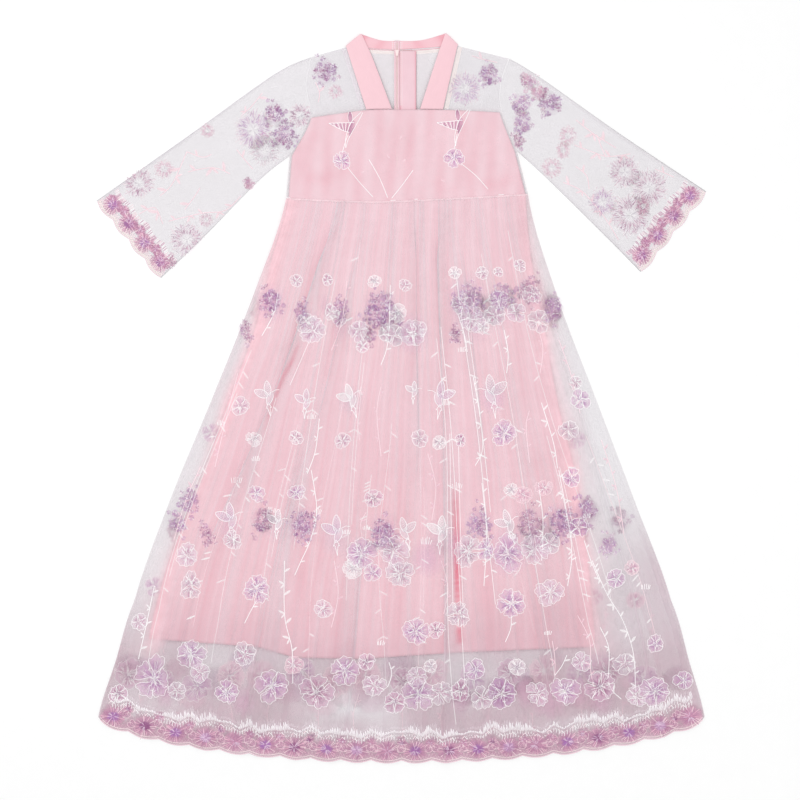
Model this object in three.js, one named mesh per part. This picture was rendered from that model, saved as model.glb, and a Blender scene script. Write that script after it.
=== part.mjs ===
// A girl's hanfu-style dress of embroidered net over satin, laid flat on its back, in millimetres.
// +X is to the right as the front is looked at, +Y runs from the hem to the neck, +Z is up, the floor is z = 0.
// Every cloth is a closed wall. From the floor up lie the net back, the satin back, the zip and its guard,
// the satin front and the net front. The two faces of a sleeve are one flattened tube, and each half of the
// neck band is one folded strip from the foot of the neckline, over the shoulder, to the zip.
import * as THREE from "three";

const { clamp, lerp, smoothstep } = THREE.MathUtils;

// ---- Cloth and levels ----
const CLOTH = 1.0; // wall of a single cloth
const BAND_CLOTH = 1.6; // wall of the doubled neck band
const SEAM = 0.3; // clearance between neighbouring pieces
const LAYER = CLOTH + SEAM; // rise from one cloth to the next
const BACK_GATHER_RISE = 1.2; // how far the back gathers lift the cloths that lie on them
const SATIN_CROWN = 1.1; // how far the satin front stands above its side seams, over the zip
const SATIN_INSET = 3.5; // the satin is narrower than the net at each side
const NET_SHOULDER = 3.5; // the net climbs the edge of the satin in this width
const CROWN_RUN = 18; // width over which a front rounds up from its side seam
const CLEAR_RUN = 12; // how far past the satin's edge the net front stays up
const LIFT_RUN = 60; // how far past the satin's edge it has come down
const YOKE_FOOT = 4.4; // underside of the yoke front where it meets the bodice

// ---- Places on the dress, left being -X ----
const place = (x, y) => new THREE.Vector2(x, y);
const CENTRE_BACK = -6; // the zip's line
const SIDES = {
  left: {
    neckPeak: place(-58.5, 548.5), // free edge of the band where it folds over the shoulder
    neckBase: place(-82.5, 529), // sewn edge of the band at the shoulder
    bandMiddle: place(-42, 512), // free edge of the band, half way up
    bandBackTop: place(-30, 539.5), // free edge of the band behind the neck
    bandFoot: { outer: -52.5, inner: -13 }, // x of the band's edges where it meets the bodice
    shoulder: place(-135, 514),
    armholeMiddle: place(-142, 472),
    bodiceCorner: place(-138, 423),
    underarm: place(-167, 366),
    waist: place(-172.5, 301.5),
    sleeveTop: [place(-190, 488), place(-316, 398)],
    cuffTop: place(-456, 299),
    sleeveUnder: [place(-213, 329), place(-300, 240)],
    cuffUnder: place(-360, 183),
  },
  right: {
    neckPeak: place(66, 549.5),
    neckBase: place(85, 531),
    bandMiddle: place(53, 512),
    bandBackTop: place(30, 539.5),
    bandFoot: { outer: 63.5, inner: 28 },
    shoulder: place(162, 512),
    armholeMiddle: place(149, 472),
    bodiceCorner: place(151.5, 431),
    underarm: place(174, 373),
    waist: place(190.5, 307.5),
    sleeveTop: [place(205, 486), place(330, 398)],
    cuffTop: place(457.5, 313),
    sleeveUnder: [place(222, 329), place(312, 240)],
    cuffUnder: place(359, 192),
  },
};
const NECK_BACK_SEAM = 525; // height of the band's sewn edge at the zip
const NECK_BACK_TOP = 538.5; // height of the band's free edge at the zip
const WAIST_MIDDLE = [place(-45, 296.5), place(60, 300.5)];
const BODICE_TOP = [place(-52.5, 434.5), place(5, 435), place(63.5, 435)]; // between the bodice's corners

// ---- Skirts: the side seams at a few heights, and the hems ----
const NET_SEAMS = [
  { y: 310, left: -172, right: 190 },
  { y: 150, left: -225, right: 236 },
  { y: 0, left: -285, right: 293 },
  { y: -150, left: -347, right: 350 },
  { y: -300, left: -400, right: 405 },
  { y: -390, left: -428, right: 432 },
  { y: -480, left: -455, right: 456 },
];
const SATIN_SEAMS = [
  { y: 310, left: -168, right: 186 },
  { y: 210, left: -194, right: 195 },
  { y: 105, left: -219, right: 215 },
  { y: 0, left: -258, right: 234 },
  { y: -110, left: -295, right: 261 },
  { y: -240, left: -346, right: 280 },
  { y: -375, left: -378, right: 291 },
];
const NET_HEM_SIDE = -474;
const NET_HEM_SAG = 66; // how much lower the hem's middle lies
const NET_HEM_ROUND = 0.65; // how square the hem's corners are
const SCALLOP_DEPTH = 4.5;
const HEM_SCALLOPS = 20;
const CUFF_SCALLOPS = 4;
const SATIN_HEM = [
  { x: -378, y: -358 },
  { x: -215, y: -370 },
  { x: -160, y: -386 },
  { x: -60, y: -388 },
  { x: 90, y: -378 },
  { x: 291, y: -370 },
];

// ---- Gathers and folds ----
const FRONT_GATHERS = 24;
const BACK_GATHERS = 20;
const GATHER_HEIGHT = { waist: 1.4, middle: 3.2, hem: 2.4 };
// Long folds of the net front. waist and hem are where a fold's line meets the two edges, as shares of their
// width, and it shows between the shares start and end of the length. Its height is in millimetres and its
// width a share of the panel's.
const LONG_FOLDS = [
  { waist: 0.23, hem: 0.04, start: 0, end: 0.62, height: 4.6, width: 0.026 },
  { waist: 0.34, hem: 0.23, start: 0.1, end: 0.55, height: 2.6, width: 0.022 },
  { waist: 0.52, hem: 0.53, start: 0, end: 0.5, height: 2.8, width: 0.02 },
  { waist: 0.65, hem: 0.585, start: 0, end: 1, height: 4.4, width: 0.024 },
  { waist: 0.7, hem: 0.66, start: 0.1, end: 0.45, height: 2.4, width: 0.02 },
  { waist: 0.3, hem: 0.25, start: 0.45, end: 1, height: 2.8, width: 0.03 },
  { waist: 0.42, hem: 0.38, start: 0.6, end: 1, height: 3.2, width: 0.028 },
  { waist: 0.82, hem: 0.78, start: 0.35, end: 1, height: 3.0, width: 0.03 },
  { waist: 0.95, hem: 0.9, start: 0.2, end: 0.9, height: 2.4, width: 0.03 },
];
const FOLD_FADE = 0.12; // share of the length in which a long fold dies away
const SATIN_FOLDS = 7;
const SATIN_FOLD_HEIGHT = 0.9;
const SLEEVE_WRINKLE = 1.3;

// ---- Zip ----
const ZIP_FOOT = 306;
const TAPE_WIDTH = 3.9;
const TAPE_CLOTH = 0.6;
const GUARD_WIDTH = 24.5;
const GUARD_CLOTH = 0.8;
const GUARD_TOP = 523;
const SLIDER = { width: 5.4, length: 9, height: 2, round: 1.2, y: 520 };

// ---- Curves, tables and patches ----

// A curve through the places, as a function of its share of the length.
function through(...places) {
  const curve = new THREE.SplineCurve(places);
  return (t) => curve.getPointAt(clamp(t, 0, 1));
}

// The same curve with its places at even shares, so that neighbours can share a stretch of it.
function byPlaces(...places) {
  const curve = new THREE.SplineCurve(places);
  return (t) => curve.getPoint(clamp(t, 0, 1));
}

const stretch = (line, from, to) => (t) => line(lerp(from, to, t));
const joined = (first, second, at) => (t) => (t < at ? first(t / at) : second((t - at) / (1 - at)));

// The share at which a line that runs towards +X, or towards -X, reaches a given x.
function shareAt(line, x) {
  const sign = Math.sign(line(1).x - line(0).x);
  let low = 0;
  let high = 1;
  for (let k = 0; k < 30; k++) {
    const middle = (low + high) / 2;
    if (sign * (line(middle).x - x) < 0) low = middle;
    else high = middle;
  }
  return low;
}

// The value of a column at a height or width, straight between the rows of a table.
function lookUp(table, key, at, column) {
  const rows = [...table].sort((a, b) => a[key] - b[key]);
  const next = rows.findIndex((row) => row[key] >= at);
  if (next <= 0) return next === 0 ? rows[0][column] : rows.at(-1)[column];
  const [low, high] = [rows[next - 1], rows[next]];
  return lerp(low[column], high[column], (at - low[key]) / (high[key] - low[key]));
}

// A four-sided patch. top and bottom run in u, left and right run in v, and they share their corners.
function patch(top, bottom, left, right) {
  return (u, v) => {
    const across = top(u).clone().multiplyScalar(1 - v).addScaledVector(bottom(u), v);
    const down = left(v).clone().multiplyScalar(1 - u).addScaledVector(right(v), u);
    const corners = top(0).clone().multiplyScalar((1 - u) * (1 - v));
    corners.addScaledVector(top(1), u * (1 - v));
    corners.addScaledVector(bottom(0), (1 - u) * v).addScaledVector(bottom(1), u * v);
    return across.add(down).sub(corners);
  };
}

// The same patch, drawn in by half a seam's clearance on all four sides.
function trimmed(area) {
  const half = SEAM / 2 + 0.03;
  const shareU = half / area(0, 0.5).distanceTo(area(1, 0.5));
  const shareV = half / area(0.5, 0).distanceTo(area(0.5, 1));
  return (u, v) => area(lerp(shareU, 1 - shareU, u), lerp(shareV, 1 - shareV, v));
}

const evenly = (count) => Array.from({ length: count + 1 }, (_, k) => k / count);

// Shares from 0 to 1 with the given shares close to each side and even steps between them.
function closeAtSides(near, count) {
  const last = near.at(-1);
  const middle = evenly(count).slice(1, -1).map((t) => lerp(last, 1 - last, t));
  return [...near, ...middle, ...near.map((t) => 1 - t).reverse()];
}

// ---- Walls ----

function turnedOut(geometry) {
  const at = geometry.getAttribute("position");
  const index = geometry.getIndex().array;
  const [a, b, c] = [0, 1, 2].map(() => new THREE.Vector3());
  let volume = 0;
  for (let k = 0; k < index.length; k += 3) {
    [a, b, c].forEach((corner, n) => corner.fromBufferAttribute(at, index[k + n]));
    volume += a.dot(b.cross(c));
  }
  if (volume < 0) index.reverse();
  return geometry;
}

// A closed wall between two grids of points. A ring closes on itself along each row.
function wall(outer, inner, ring = false) {
  const rows = outer.length;
  const columns = outer[0].length;
  const at = (face, row, column) => (face * rows + row) * columns + (column % columns);
  const index = [];
  const quad = (a, b, c, d) => index.push(a, b, c, a, c, d);
  const lastColumn = ring ? columns : columns - 1;
  for (let i = 0; i < lastColumn; i++) {
    for (let j = 0; j < rows - 1; j++) {
      quad(at(0, j, i), at(0, j, i + 1), at(0, j + 1, i + 1), at(0, j + 1, i));
      quad(at(1, j, i), at(1, j + 1, i), at(1, j + 1, i + 1), at(1, j, i + 1));
    }
    quad(at(0, 0, i + 1), at(0, 0, i), at(1, 0, i), at(1, 0, i + 1));
    quad(at(0, rows - 1, i), at(0, rows - 1, i + 1), at(1, rows - 1, i + 1), at(1, rows - 1, i));
  }
  for (let j = 0; !ring && j < rows - 1; j++) {
    quad(at(0, j, 0), at(0, j + 1, 0), at(1, j + 1, 0), at(1, j, 0));
    quad(at(0, j + 1, columns - 1), at(0, j, columns - 1), at(1, j, columns - 1), at(1, j + 1, columns - 1));
  }
  const positions = [...outer.flat(), ...inner.flat()].flatMap((p) => p.toArray());
  const geometry = new THREE.BufferGeometry();
  geometry.setAttribute("position", new THREE.Float32BufferAttribute(positions, 3));
  geometry.setIndex(index);
  return turnedOut(geometry);
}

// A cloth lying on a patch. level gives the height of its underside from the place, u and v, and folds what
// its upper face has beside its thickness.
const plain = () => 0;
function sheet(area, level, across, down, thick = CLOTH, folds = plain) {
  const grid = (height) =>
    down.map((v) =>
      across.map((u) => {
        const spot = area(u, v);
        return new THREE.Vector3(spot.x, spot.y, height(spot, u, v));
      }),
    );
  return wall(grid((...at) => level(...at) + thick + folds(...at)), grid(level));
}

// ---- Pieces ----

const part = new THREE.Group();
const net = { color: 0xe9dfe8, roughness: 0.7, metalness: 0, transparent: true, opacity: 0.6 };
const satin = { color: 0xf6bcc8, roughness: 0.45, metalness: 0 };
const band = { color: 0xf8bfca, roughness: 0.5, metalness: 0 };
const zipCloth = { color: 0xf3c4ce, roughness: 0.6, metalness: 0 };
const enamel = { color: 0xf0e2da, roughness: 0.35, metalness: 0.2 };

function add(name, geometry, finish) {
  const mesh = new THREE.Mesh(geometry, new THREE.MeshStandardMaterial(finish));
  mesh.name = name;
  part.add(mesh);
}

// Lines that two pieces share.
const armholeOf = ({ shoulder, armholeMiddle, bodiceCorner, underarm }) =>
  byPlaces(shoulder, armholeMiddle, bodiceCorner, underarm);
const ARMHOLE_AT_BODICE = 2 / 3; // share of the armhole at the bodice's corner
const bodiceTop = byPlaces(SIDES.left.bodiceCorner, ...BODICE_TOP, SIDES.right.bodiceCorner);

// Bodice: four-sided panels between the armholes and side seams, the yoke seam and the waist seam.
function bodiceArea(inset) {
  const edge = (side, inward) => {
    const line = joined(
      stretch(armholeOf(side), ARMHOLE_AT_BODICE, 1),
      through(side.underarm, side.waist),
      0.45,
    );
    return (v) => line(v).clone().add(place(inward, 0));
  };
  const drawnIn = (line) => (u) => line(u).clone().add(place(lerp(inset, -inset, u), 0));
  return patch(
    drawnIn(bodiceTop),
    drawnIn(through(SIDES.left.waist, ...WAIST_MIDDLE, SIDES.right.waist)),
    edge(SIDES.left, inset),
    edge(SIDES.right, -inset),
  );
}

const netBodice = bodiceArea(0);
const satinBodice = bodiceArea(SATIN_INSET);

// Distance in from the nearer side of an area, along its row.
const fromSide = (area, u, v) => Math.min(u, 1 - u) * area(0, v).distanceTo(area(1, v));

const satinFrontLevel = (area) => (spot, u, v) =>
  2 * LAYER + SATIN_CROWN * smoothstep(fromSide(area, u, v), 0, CROWN_RUN);

function netFrontLevel(spot, u, v) {
  const inside = fromSide(netBodice, u, v);
  const climb = 2 * LAYER * smoothstep(inside, 0, NET_SHOULDER);
  return LAYER + climb + SATIN_CROWN * smoothstep(inside, NET_SHOULDER, CROWN_RUN + NET_SHOULDER);
}

const bodiceRows = [0, 0.06, 0.12, 0.18, 0.25, 0.34, 0.45, 0.7, 1];
add("bodice_front_satin", sheet(trimmed(satinBodice), satinFrontLevel(satinBodice),
  closeAtSides([0, 0.02, 0.05], 8), bodiceRows), satin);
add("bodice_front_net", sheet(trimmed(netBodice), netFrontLevel,
  closeAtSides([0, 0.005, 0.01, 0.03, 0.06], 8), bodiceRows), net);

// One half of a back panel, cut off at the zip's line.
function halfOf(area, side) {
  const share = (v) => shareAt((u) => area(u, v), CENTRE_BACK);
  return side === "left"
    ? (u, v) => area(u * share(v), v)
    : (u, v) => area(lerp(share(v), 1, u), v);
}
for (const side of ["left", "right"]) {
  add(`bodice_back_net_${side}`, sheet(trimmed(halfOf(netBodice, side)), plain, evenly(5), bodiceRows), net);
  add(`bodice_back_satin_${side}`,
    sheet(trimmed(halfOf(satinBodice, side)), () => LAYER, evenly(5), bodiceRows), satin);
}

// Yokes: net between the shoulder, the armhole, the bodice and the neck.
const neckSeam = place(CENTRE_BACK, NECK_BACK_SEAM);
for (const [name, side] of Object.entries(SIDES)) {
  const { shoulder, neckBase, bandFoot } = side;
  const corner = side === SIDES.left ? 0 : 1;
  const armhole = stretch(armholeOf(side), 0, ARMHOLE_AT_BODICE);
  const footTo = (x) => stretch(bodiceTop, corner, shareAt(bodiceTop, x));
  const front = patch(
    through(shoulder, neckBase),
    footTo(bandFoot.outer),
    armhole,
    through(neckBase, footTo(bandFoot.outer)(1)),
  );
  const rise = (spot, u, v) =>
    LAYER + (YOKE_FOOT - LAYER) * smoothstep(v, 0, 1) * smoothstep(u, 0, 0.3);
  add(`yoke_front_${name}`, sheet(trimmed(front), rise, evenly(5), evenly(10)), net);

  const back = patch(
    joined(through(shoulder, neckBase), through(neckBase, neckSeam), 0.5),
    footTo(CENTRE_BACK),
    armhole,
    through(neckSeam, footTo(CENTRE_BACK)(1)),
  );
  add(`yoke_back_${name}`, sheet(trimmed(back), plain, evenly(6), evenly(10)), net);
}

// Sleeves: a flattened tube from the armhole to the scalloped cuff. Its upper face has soft wrinkles.
const SLEEVE_MIDDLE = 1.3; // height of the creased edges
const SLEEVE_EDGE = 0.012; // share of the width in which a face rounds over at the crease
const sleeveWrinkle = (s, t) =>
  SLEEVE_WRINKLE * Math.sin(Math.PI * s) ** 2 * (0.5 + 0.5 * Math.sin(9 * s + 7 * t)) * Math.sin(Math.PI * t);

function sleeve(side) {
  const cuff = through(side.cuffTop, side.cuffUnder);
  const outward = side.cuffUnder.clone().sub(side.cuffTop).normalize();
  outward.set(outward.y, -outward.x).multiplyScalar(Math.sign(side.cuffTop.x) * -1);
  const scalloped = (s) =>
    cuff(s).clone().addScaledVector(outward, SCALLOP_DEPTH * Math.abs(Math.sin(CUFF_SCALLOPS * Math.PI * s)));
  const area = trimmed(patch(
    armholeOf(side),
    scalloped,
    through(side.shoulder, ...side.sleeveTop, scalloped(0)),
    through(side.underarm, ...side.sleeveUnder, scalloped(1)),
  ));
  const across = closeAtSides([SLEEVE_EDGE, 3 * SLEEVE_EDGE], 13);
  // One ring of the tube. draw is how far the ring lies inside the outer face.
  const ring = (t, draw) => {
    const inward = draw * SLEEVE_EDGE * 1.5;
    const spot = (s, z) => {
      const flat = area(lerp(inward, 1 - inward, s), t);
      return new THREE.Vector3(flat.x, flat.y, z);
    };
    const upper = across.map((s) => spot(s, 2 * LAYER + sleeveWrinkle(s, t) - draw));
    const lower = across.map((s) => spot(s, draw)).reverse();
    return [spot(0, SLEEVE_MIDDLE), ...upper, spot(1, SLEEVE_MIDDLE), ...lower];
  };
  const stations = evenly(8);
  return wall(stations.map((t) => ring(t, 0)), stations.map((t) => ring(t, CLOTH)), true);
}
add("sleeve_left", sleeve(SIDES.left), net);
add("sleeve_right", sleeve(SIDES.right), net);

// Neck band: a strip up the front, turned over at the shoulder and led behind the neck to the zip.
const BAND_TURN = (BAND_CLOTH + SEAM) / 2; // radius of the fold's middle surface
const BAND_FOOT = 5; // height of the middle surface at the foot of the neckline
function neckBand(side) {
  const sign = Math.sign(side.neckPeak.x);
  const end = CENTRE_BACK + (sign * SEAM) / 2;
  const { outer, inner } = side.bandFoot;
  const foot = stretch(bodiceTop, shareAt(bodiceTop, outer), shareAt(bodiceTop, inner));
  const front = patch(
    foot,
    through(side.neckBase, side.neckPeak),
    through(foot(0), side.neckBase),
    through(foot(1), side.bandMiddle, side.neckPeak),
  );
  const behind = patch(
    through(side.neckBase, side.neckPeak),
    through(place(end, NECK_BACK_SEAM), place(end, NECK_BACK_TOP)),
    through(side.neckBase, place(end, NECK_BACK_SEAM)),
    through(side.neckPeak, side.bandBackTop, place(end, NECK_BACK_TOP)),
  );
  const fold = side.neckPeak.clone().sub(side.neckBase).normalize();
  const out = place(-fold.y, fold.x).multiplyScalar(Math.sign(-fold.y * sign)); // away from the neck
  const shares = evenly(4).map((s) => lerp(0.012, 0.988, s));
  const low = BAND_CLOTH / 2;
  const high = low + 2 * BAND_TURN;
  const rows = [];
  for (const t of evenly(7))
    rows.push(shares.map((s) => ({ spot: front(s, lerp(0.004, 1, t)), z: lerp(BAND_FOOT, high, t), lean: 0 })));
  for (const angle of [45, 90, 135].map(THREE.MathUtils.degToRad))
    rows.push(shares.map((s) => ({
      spot: front(s, 1).clone().addScaledVector(out, BAND_TURN * Math.sin(angle)),
      z: low + BAND_TURN * (1 + Math.cos(angle)),
      lean: angle,
    })));
  for (const t of evenly(6))
    rows.push(shares.map((s) => ({ spot: behind(s, t), z: low, lean: Math.PI })));
  const face = (half) => rows.map((row) => row.map(({ spot, z, lean }) => {
    const flat = spot.clone().addScaledVector(out, half * Math.sin(lean));
    return new THREE.Vector3(flat.x, flat.y, z + half * Math.cos(lean));
  }));
  return wall(face(BAND_CLOTH / 2), face(-BAND_CLOTH / 2));
}
add("neck_band_left", neckBand(SIDES.left), band);
add("neck_band_right", neckBand(SIDES.right), band);

// Skirts: front and back panels between the same side seams.
const waistEdge = through(SIDES.left.waist, ...WAIST_MIDDLE, SIDES.right.waist);
const satinWaist = (u) => {
  const spot = waistEdge(u);
  return place(spot.x + lerp(SATIN_INSET, -SATIN_INSET, u), spot.y);
};

function netHem(u) {
  const across = 2 * u - 1;
  const round = Math.max(0, 1 - across * across) ** NET_HEM_ROUND;
  const lobe = Math.abs(Math.sin(HEM_SCALLOPS * Math.PI * u));
  const y = NET_HEM_SIDE - NET_HEM_SAG * round - SCALLOP_DEPTH * lobe;
  const end = (column) => lookUp(NET_SEAMS, "y", NET_HEM_SIDE, column);
  return place(lerp(end("left"), end("right"), u), y);
}
const satinHemLevel = (x) => lookUp(SATIN_HEM, "x", x, "y");
const satinHem = (u) => {
  const x = lerp(SATIN_HEM[0].x, SATIN_HEM.at(-1).x, u);
  return place(x, satinHemLevel(x));
};

// A side seam from its waist end to its hem end, on the table's outline.
function seamLine(table, column, from, to) {
  return (v) => {
    const y = lerp(from.y, to.y, v);
    const bend = lookUp(table, "y", y, column);
    const start = lookUp(table, "y", from.y, column) - from.x;
    const end = lookUp(table, "y", to.y, column) - to.x;
    return place(bend - lerp(start, end, v), y);
  };
}
const netSkirt = patch(
  waistEdge,
  netHem,
  seamLine(NET_SEAMS, "left", waistEdge(0), netHem(0)),
  seamLine(NET_SEAMS, "right", waistEdge(1), netHem(1)),
);
const satinSkirt = patch(
  satinWaist,
  satinHem,
  seamLine(SATIN_SEAMS, "left", satinWaist(0), satinHem(0)),
  seamLine(SATIN_SEAMS, "right", satinWaist(1), satinHem(1)),
);

// How far the back gathers lift what lies on them, from the waist down.
const backLift = (y) => BACK_GATHER_RISE * smoothstep(SIDES.left.waist.y - y, 10, 160);
const ridge = (offset) => (Math.abs(offset) < 1 ? 0.5 + 0.5 * Math.cos(Math.PI * offset) : 0);

// Even gathers whose crests sway and differ in height along the row.
function gather(u, count, v) {
  const sway = 0.3 * Math.sin(3.1 * count * u) * v;
  const crest = 0.5 - 0.5 * Math.cos(2 * Math.PI * (count * u + sway));
  return crest * (0.7 + 0.3 * Math.sin(5.3 * Math.floor(count * u) + 1));
}

function netSkirtFront(spot, u, v) {
  const sideIn = Math.min(
    spot.x - lookUp(SATIN_SEAMS, "y", spot.y, "left"),
    lookUp(SATIN_SEAMS, "y", spot.y, "right") - spot.x,
  );
  const hemIn = spot.y - satinHemLevel(spot.x);
  const inside = fromSide(netSkirt, u, v);
  const onSatin = smoothstep(sideIn, -LIFT_RUN, -CLEAR_RUN) * smoothstep(hemIn, -LIFT_RUN, -CLEAR_RUN);
  const crown = (SATIN_CROWN + SATIN_FOLD_HEIGHT) * smoothstep(sideIn, -CLEAR_RUN, CROWN_RUN - CLEAR_RUN);
  const climb = (onSatin * (2 * LAYER + crown) + backLift(spot.y)) * smoothstep(inside, 0, NET_SHOULDER);
  const flare = v < 0.5
    ? lerp(GATHER_HEIGHT.waist, GATHER_HEIGHT.middle, 2 * v)
    : lerp(GATHER_HEIGHT.middle, GATHER_HEIGHT.hem, 2 * v - 1);
  let folds = flare * gather(u, FRONT_GATHERS, v);
  for (const { waist, hem, start, end, height, width } of LONG_FOLDS) {
    const fading = smoothstep(v, end - FOLD_FADE, end + FOLD_FADE);
    const shown = smoothstep(v, start - FOLD_FADE, start + FOLD_FADE) * (1 - fading);
    folds += height * shown * ridge((u - lerp(waist, hem, v)) / width);
  }
  return LAYER + climb + folds * smoothstep(inside, 0, CROWN_RUN);
}

function satinSkirtFront(spot, u, v) {
  const crown = smoothstep(fromSide(satinSkirt, u, v), 0, CROWN_RUN);
  const wave = 0.5 - 0.5 * Math.cos(2 * Math.PI * SATIN_FOLDS * u);
  const folds = SATIN_FOLD_HEIGHT * wave * smoothstep(v, 0, 0.3);
  return 2 * LAYER + backLift(spot.y) + crown * (SATIN_CROWN + folds);
}

// The net back lies flat on the floor, and its gathers are in its upper face.
function netSkirtBack(spot, u, v) {
  return backLift(spot.y) * gather(u, BACK_GATHERS, v) * smoothstep(fromSide(netSkirt, u, v), 0, CROWN_RUN);
}

const COLUMNS_A_FOLD = 3;
const netFrontColumns = closeAtSides([0, 0.004, 0.009, 0.02], FRONT_GATHERS * COLUMNS_A_FOLD);
const netFrontRows = [0, 0.06, 0.14, 0.23, 0.33, 0.44, 0.55, 0.64, 0.72, 0.78, 0.83, 0.87, 0.92, 1];
const netBackColumns = closeAtSides([0, 0.02], BACK_GATHERS * COLUMNS_A_FOLD);
const netBackRows = [0, 0.2, 0.5, 0.8, 0.92, 1];
const satinColumns = closeAtSides([0, 0.025], SATIN_FOLDS * 4);
const satinBackLevel = (spot) => LAYER + backLift(spot.y);
add("overskirt_front", sheet(trimmed(netSkirt), netSkirtFront, netFrontColumns, netFrontRows), net);
add("overskirt_back",
  sheet(trimmed(netSkirt), plain, netBackColumns, netBackRows, CLOTH, netSkirtBack), net);
add("underskirt_front", sheet(trimmed(satinSkirt), satinSkirtFront, satinColumns, evenly(8)), satin);
add("underskirt_back", sheet(trimmed(satinSkirt), satinBackLevel, evenly(12), evenly(8)), satin);

// Zip: two tapes either side of the centre back, a guard beside them and the slider at the top.
// They lie on the inside of the back, which steps from the satin bodice down to the net yoke and up to the band.
const STEP_AT_YOKE = [BODICE_TOP[1].y + 2, BODICE_TOP[1].y + 16];
const STEP_AT_BAND = [NECK_BACK_SEAM - 8, NECK_BACK_SEAM - 1];
function insideLevel(y) {
  const overBodice = LAYER * (1 - smoothstep(y, ...STEP_AT_YOKE));
  const overBand = (BAND_CLOTH - CLOTH) * smoothstep(y, ...STEP_AT_BAND);
  return LAYER + overBodice + overBand;
}
function zipStrip(x, width, top, thick) {
  const edge = (at) => through(place(at, ZIP_FOOT), place(at, top));
  const across = (y) => through(place(x, y), place(x + width, y));
  const area = patch(across(ZIP_FOOT), across(top), edge(x), edge(x + width));
  const steps = [STEP_AT_YOKE, STEP_AT_BAND].flatMap((step) => evenly(4).map((t) => lerp(...step, t)));
  const heights = [ZIP_FOOT, ...steps.filter((y) => y < top), top];
  const rows = heights.map((y) => (y - ZIP_FOOT) / (top - ZIP_FOOT));
  return sheet(area, (spot) => insideLevel(spot.y), [0, 1], rows, thick);
}
const tapeLeft = CENTRE_BACK - SEAM / 2 - TAPE_WIDTH;
const tapeRight = CENTRE_BACK + SEAM / 2;
add("zip_tape_left", zipStrip(tapeLeft, TAPE_WIDTH, NECK_BACK_TOP, TAPE_CLOTH), zipCloth);
add("zip_tape_right", zipStrip(tapeRight, TAPE_WIDTH, NECK_BACK_TOP, TAPE_CLOTH), zipCloth);
add("zip_guard", zipStrip(tapeRight + TAPE_WIDTH + SEAM, GUARD_WIDTH, GUARD_TOP, GUARD_CLOTH), zipCloth);

function slider() {
  const { width, length, height, round, y } = SLIDER;
  const shape = new THREE.Shape();
  shape.moveTo(-width / 2 + round, -length / 2);
  shape.lineTo(width / 2 - round, -length / 2);
  shape.lineTo(width / 2, length / 2 - round);
  shape.absarc(width / 2 - round, length / 2 - round, round, 0, Math.PI / 2);
  shape.absarc(-width / 2 + round, length / 2 - round, round, Math.PI / 2, Math.PI);
  shape.lineTo(-width / 2, length / 2 - round);
  const body = new THREE.ExtrudeGeometry(shape, { depth: height, bevelEnabled: false, curveSegments: 3 });
  return body.translate(CENTRE_BACK, y, insideLevel(y + length / 2) + TAPE_CLOTH + SEAM);
}
add("zip_slider", slider(), enamel);

// The origin is on the floor, at the middle of the dress's outline.
const outline = new THREE.Box3().setFromObject(part);
part.position.set(-(outline.min.x + outline.max.x) / 2, -(outline.min.y + outline.max.y) / 2, -outline.min.z);

export default part;
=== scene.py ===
"""A girl's hanfu-style dress of embroidered net over satin, laid flat on its back.

The shapes are worked out in millimetres, in the dressmaker's own places: x to the right from a line 6 mm
beside the centre back, y up from a line across the skirt, z up from the floor. They are moved into the
frame, in metres, as each mesh is made.
"""

from collections import namedtuple

import bmesh
import bpy
import numpy as np
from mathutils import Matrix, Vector


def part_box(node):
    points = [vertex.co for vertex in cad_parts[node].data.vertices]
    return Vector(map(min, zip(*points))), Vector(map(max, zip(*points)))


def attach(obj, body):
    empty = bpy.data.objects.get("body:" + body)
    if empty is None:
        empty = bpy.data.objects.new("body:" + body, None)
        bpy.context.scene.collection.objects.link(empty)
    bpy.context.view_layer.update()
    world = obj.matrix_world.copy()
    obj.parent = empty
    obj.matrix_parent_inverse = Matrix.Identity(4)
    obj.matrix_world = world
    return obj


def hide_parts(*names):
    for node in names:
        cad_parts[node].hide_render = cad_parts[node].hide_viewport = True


bl_info = {
    "name": "Hanfu Dress",
    "version": (1, 0, 0),
    "blender": (4, 5, 0),
    "location": "View3D > Sidebar > Hanfu",
    "description": "Builds an embroidered net and satin dress piece by piece",
    "category": "Add Mesh",
}

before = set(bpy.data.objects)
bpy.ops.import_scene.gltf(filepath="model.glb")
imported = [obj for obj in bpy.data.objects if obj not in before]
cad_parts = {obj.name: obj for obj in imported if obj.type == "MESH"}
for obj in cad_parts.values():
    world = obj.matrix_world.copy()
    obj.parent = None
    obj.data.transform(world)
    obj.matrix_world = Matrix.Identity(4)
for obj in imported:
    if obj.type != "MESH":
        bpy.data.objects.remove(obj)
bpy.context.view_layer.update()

# ---- Cloth and levels, as in the solids ----
CLOTH = 1.0
BAND_CLOTH = 1.6
SEAM = 0.3
LAYER = CLOTH + SEAM
BACK_GATHER_RISE = 1.2
SATIN_CROWN = 1.1
SATIN_INSET = 3.5
NET_SHOULDER = 3.5
CROWN_RUN = 18
CLEAR_RUN = 12
LIFT_RUN = 60
YOKE_FOOT = 4.4

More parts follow.
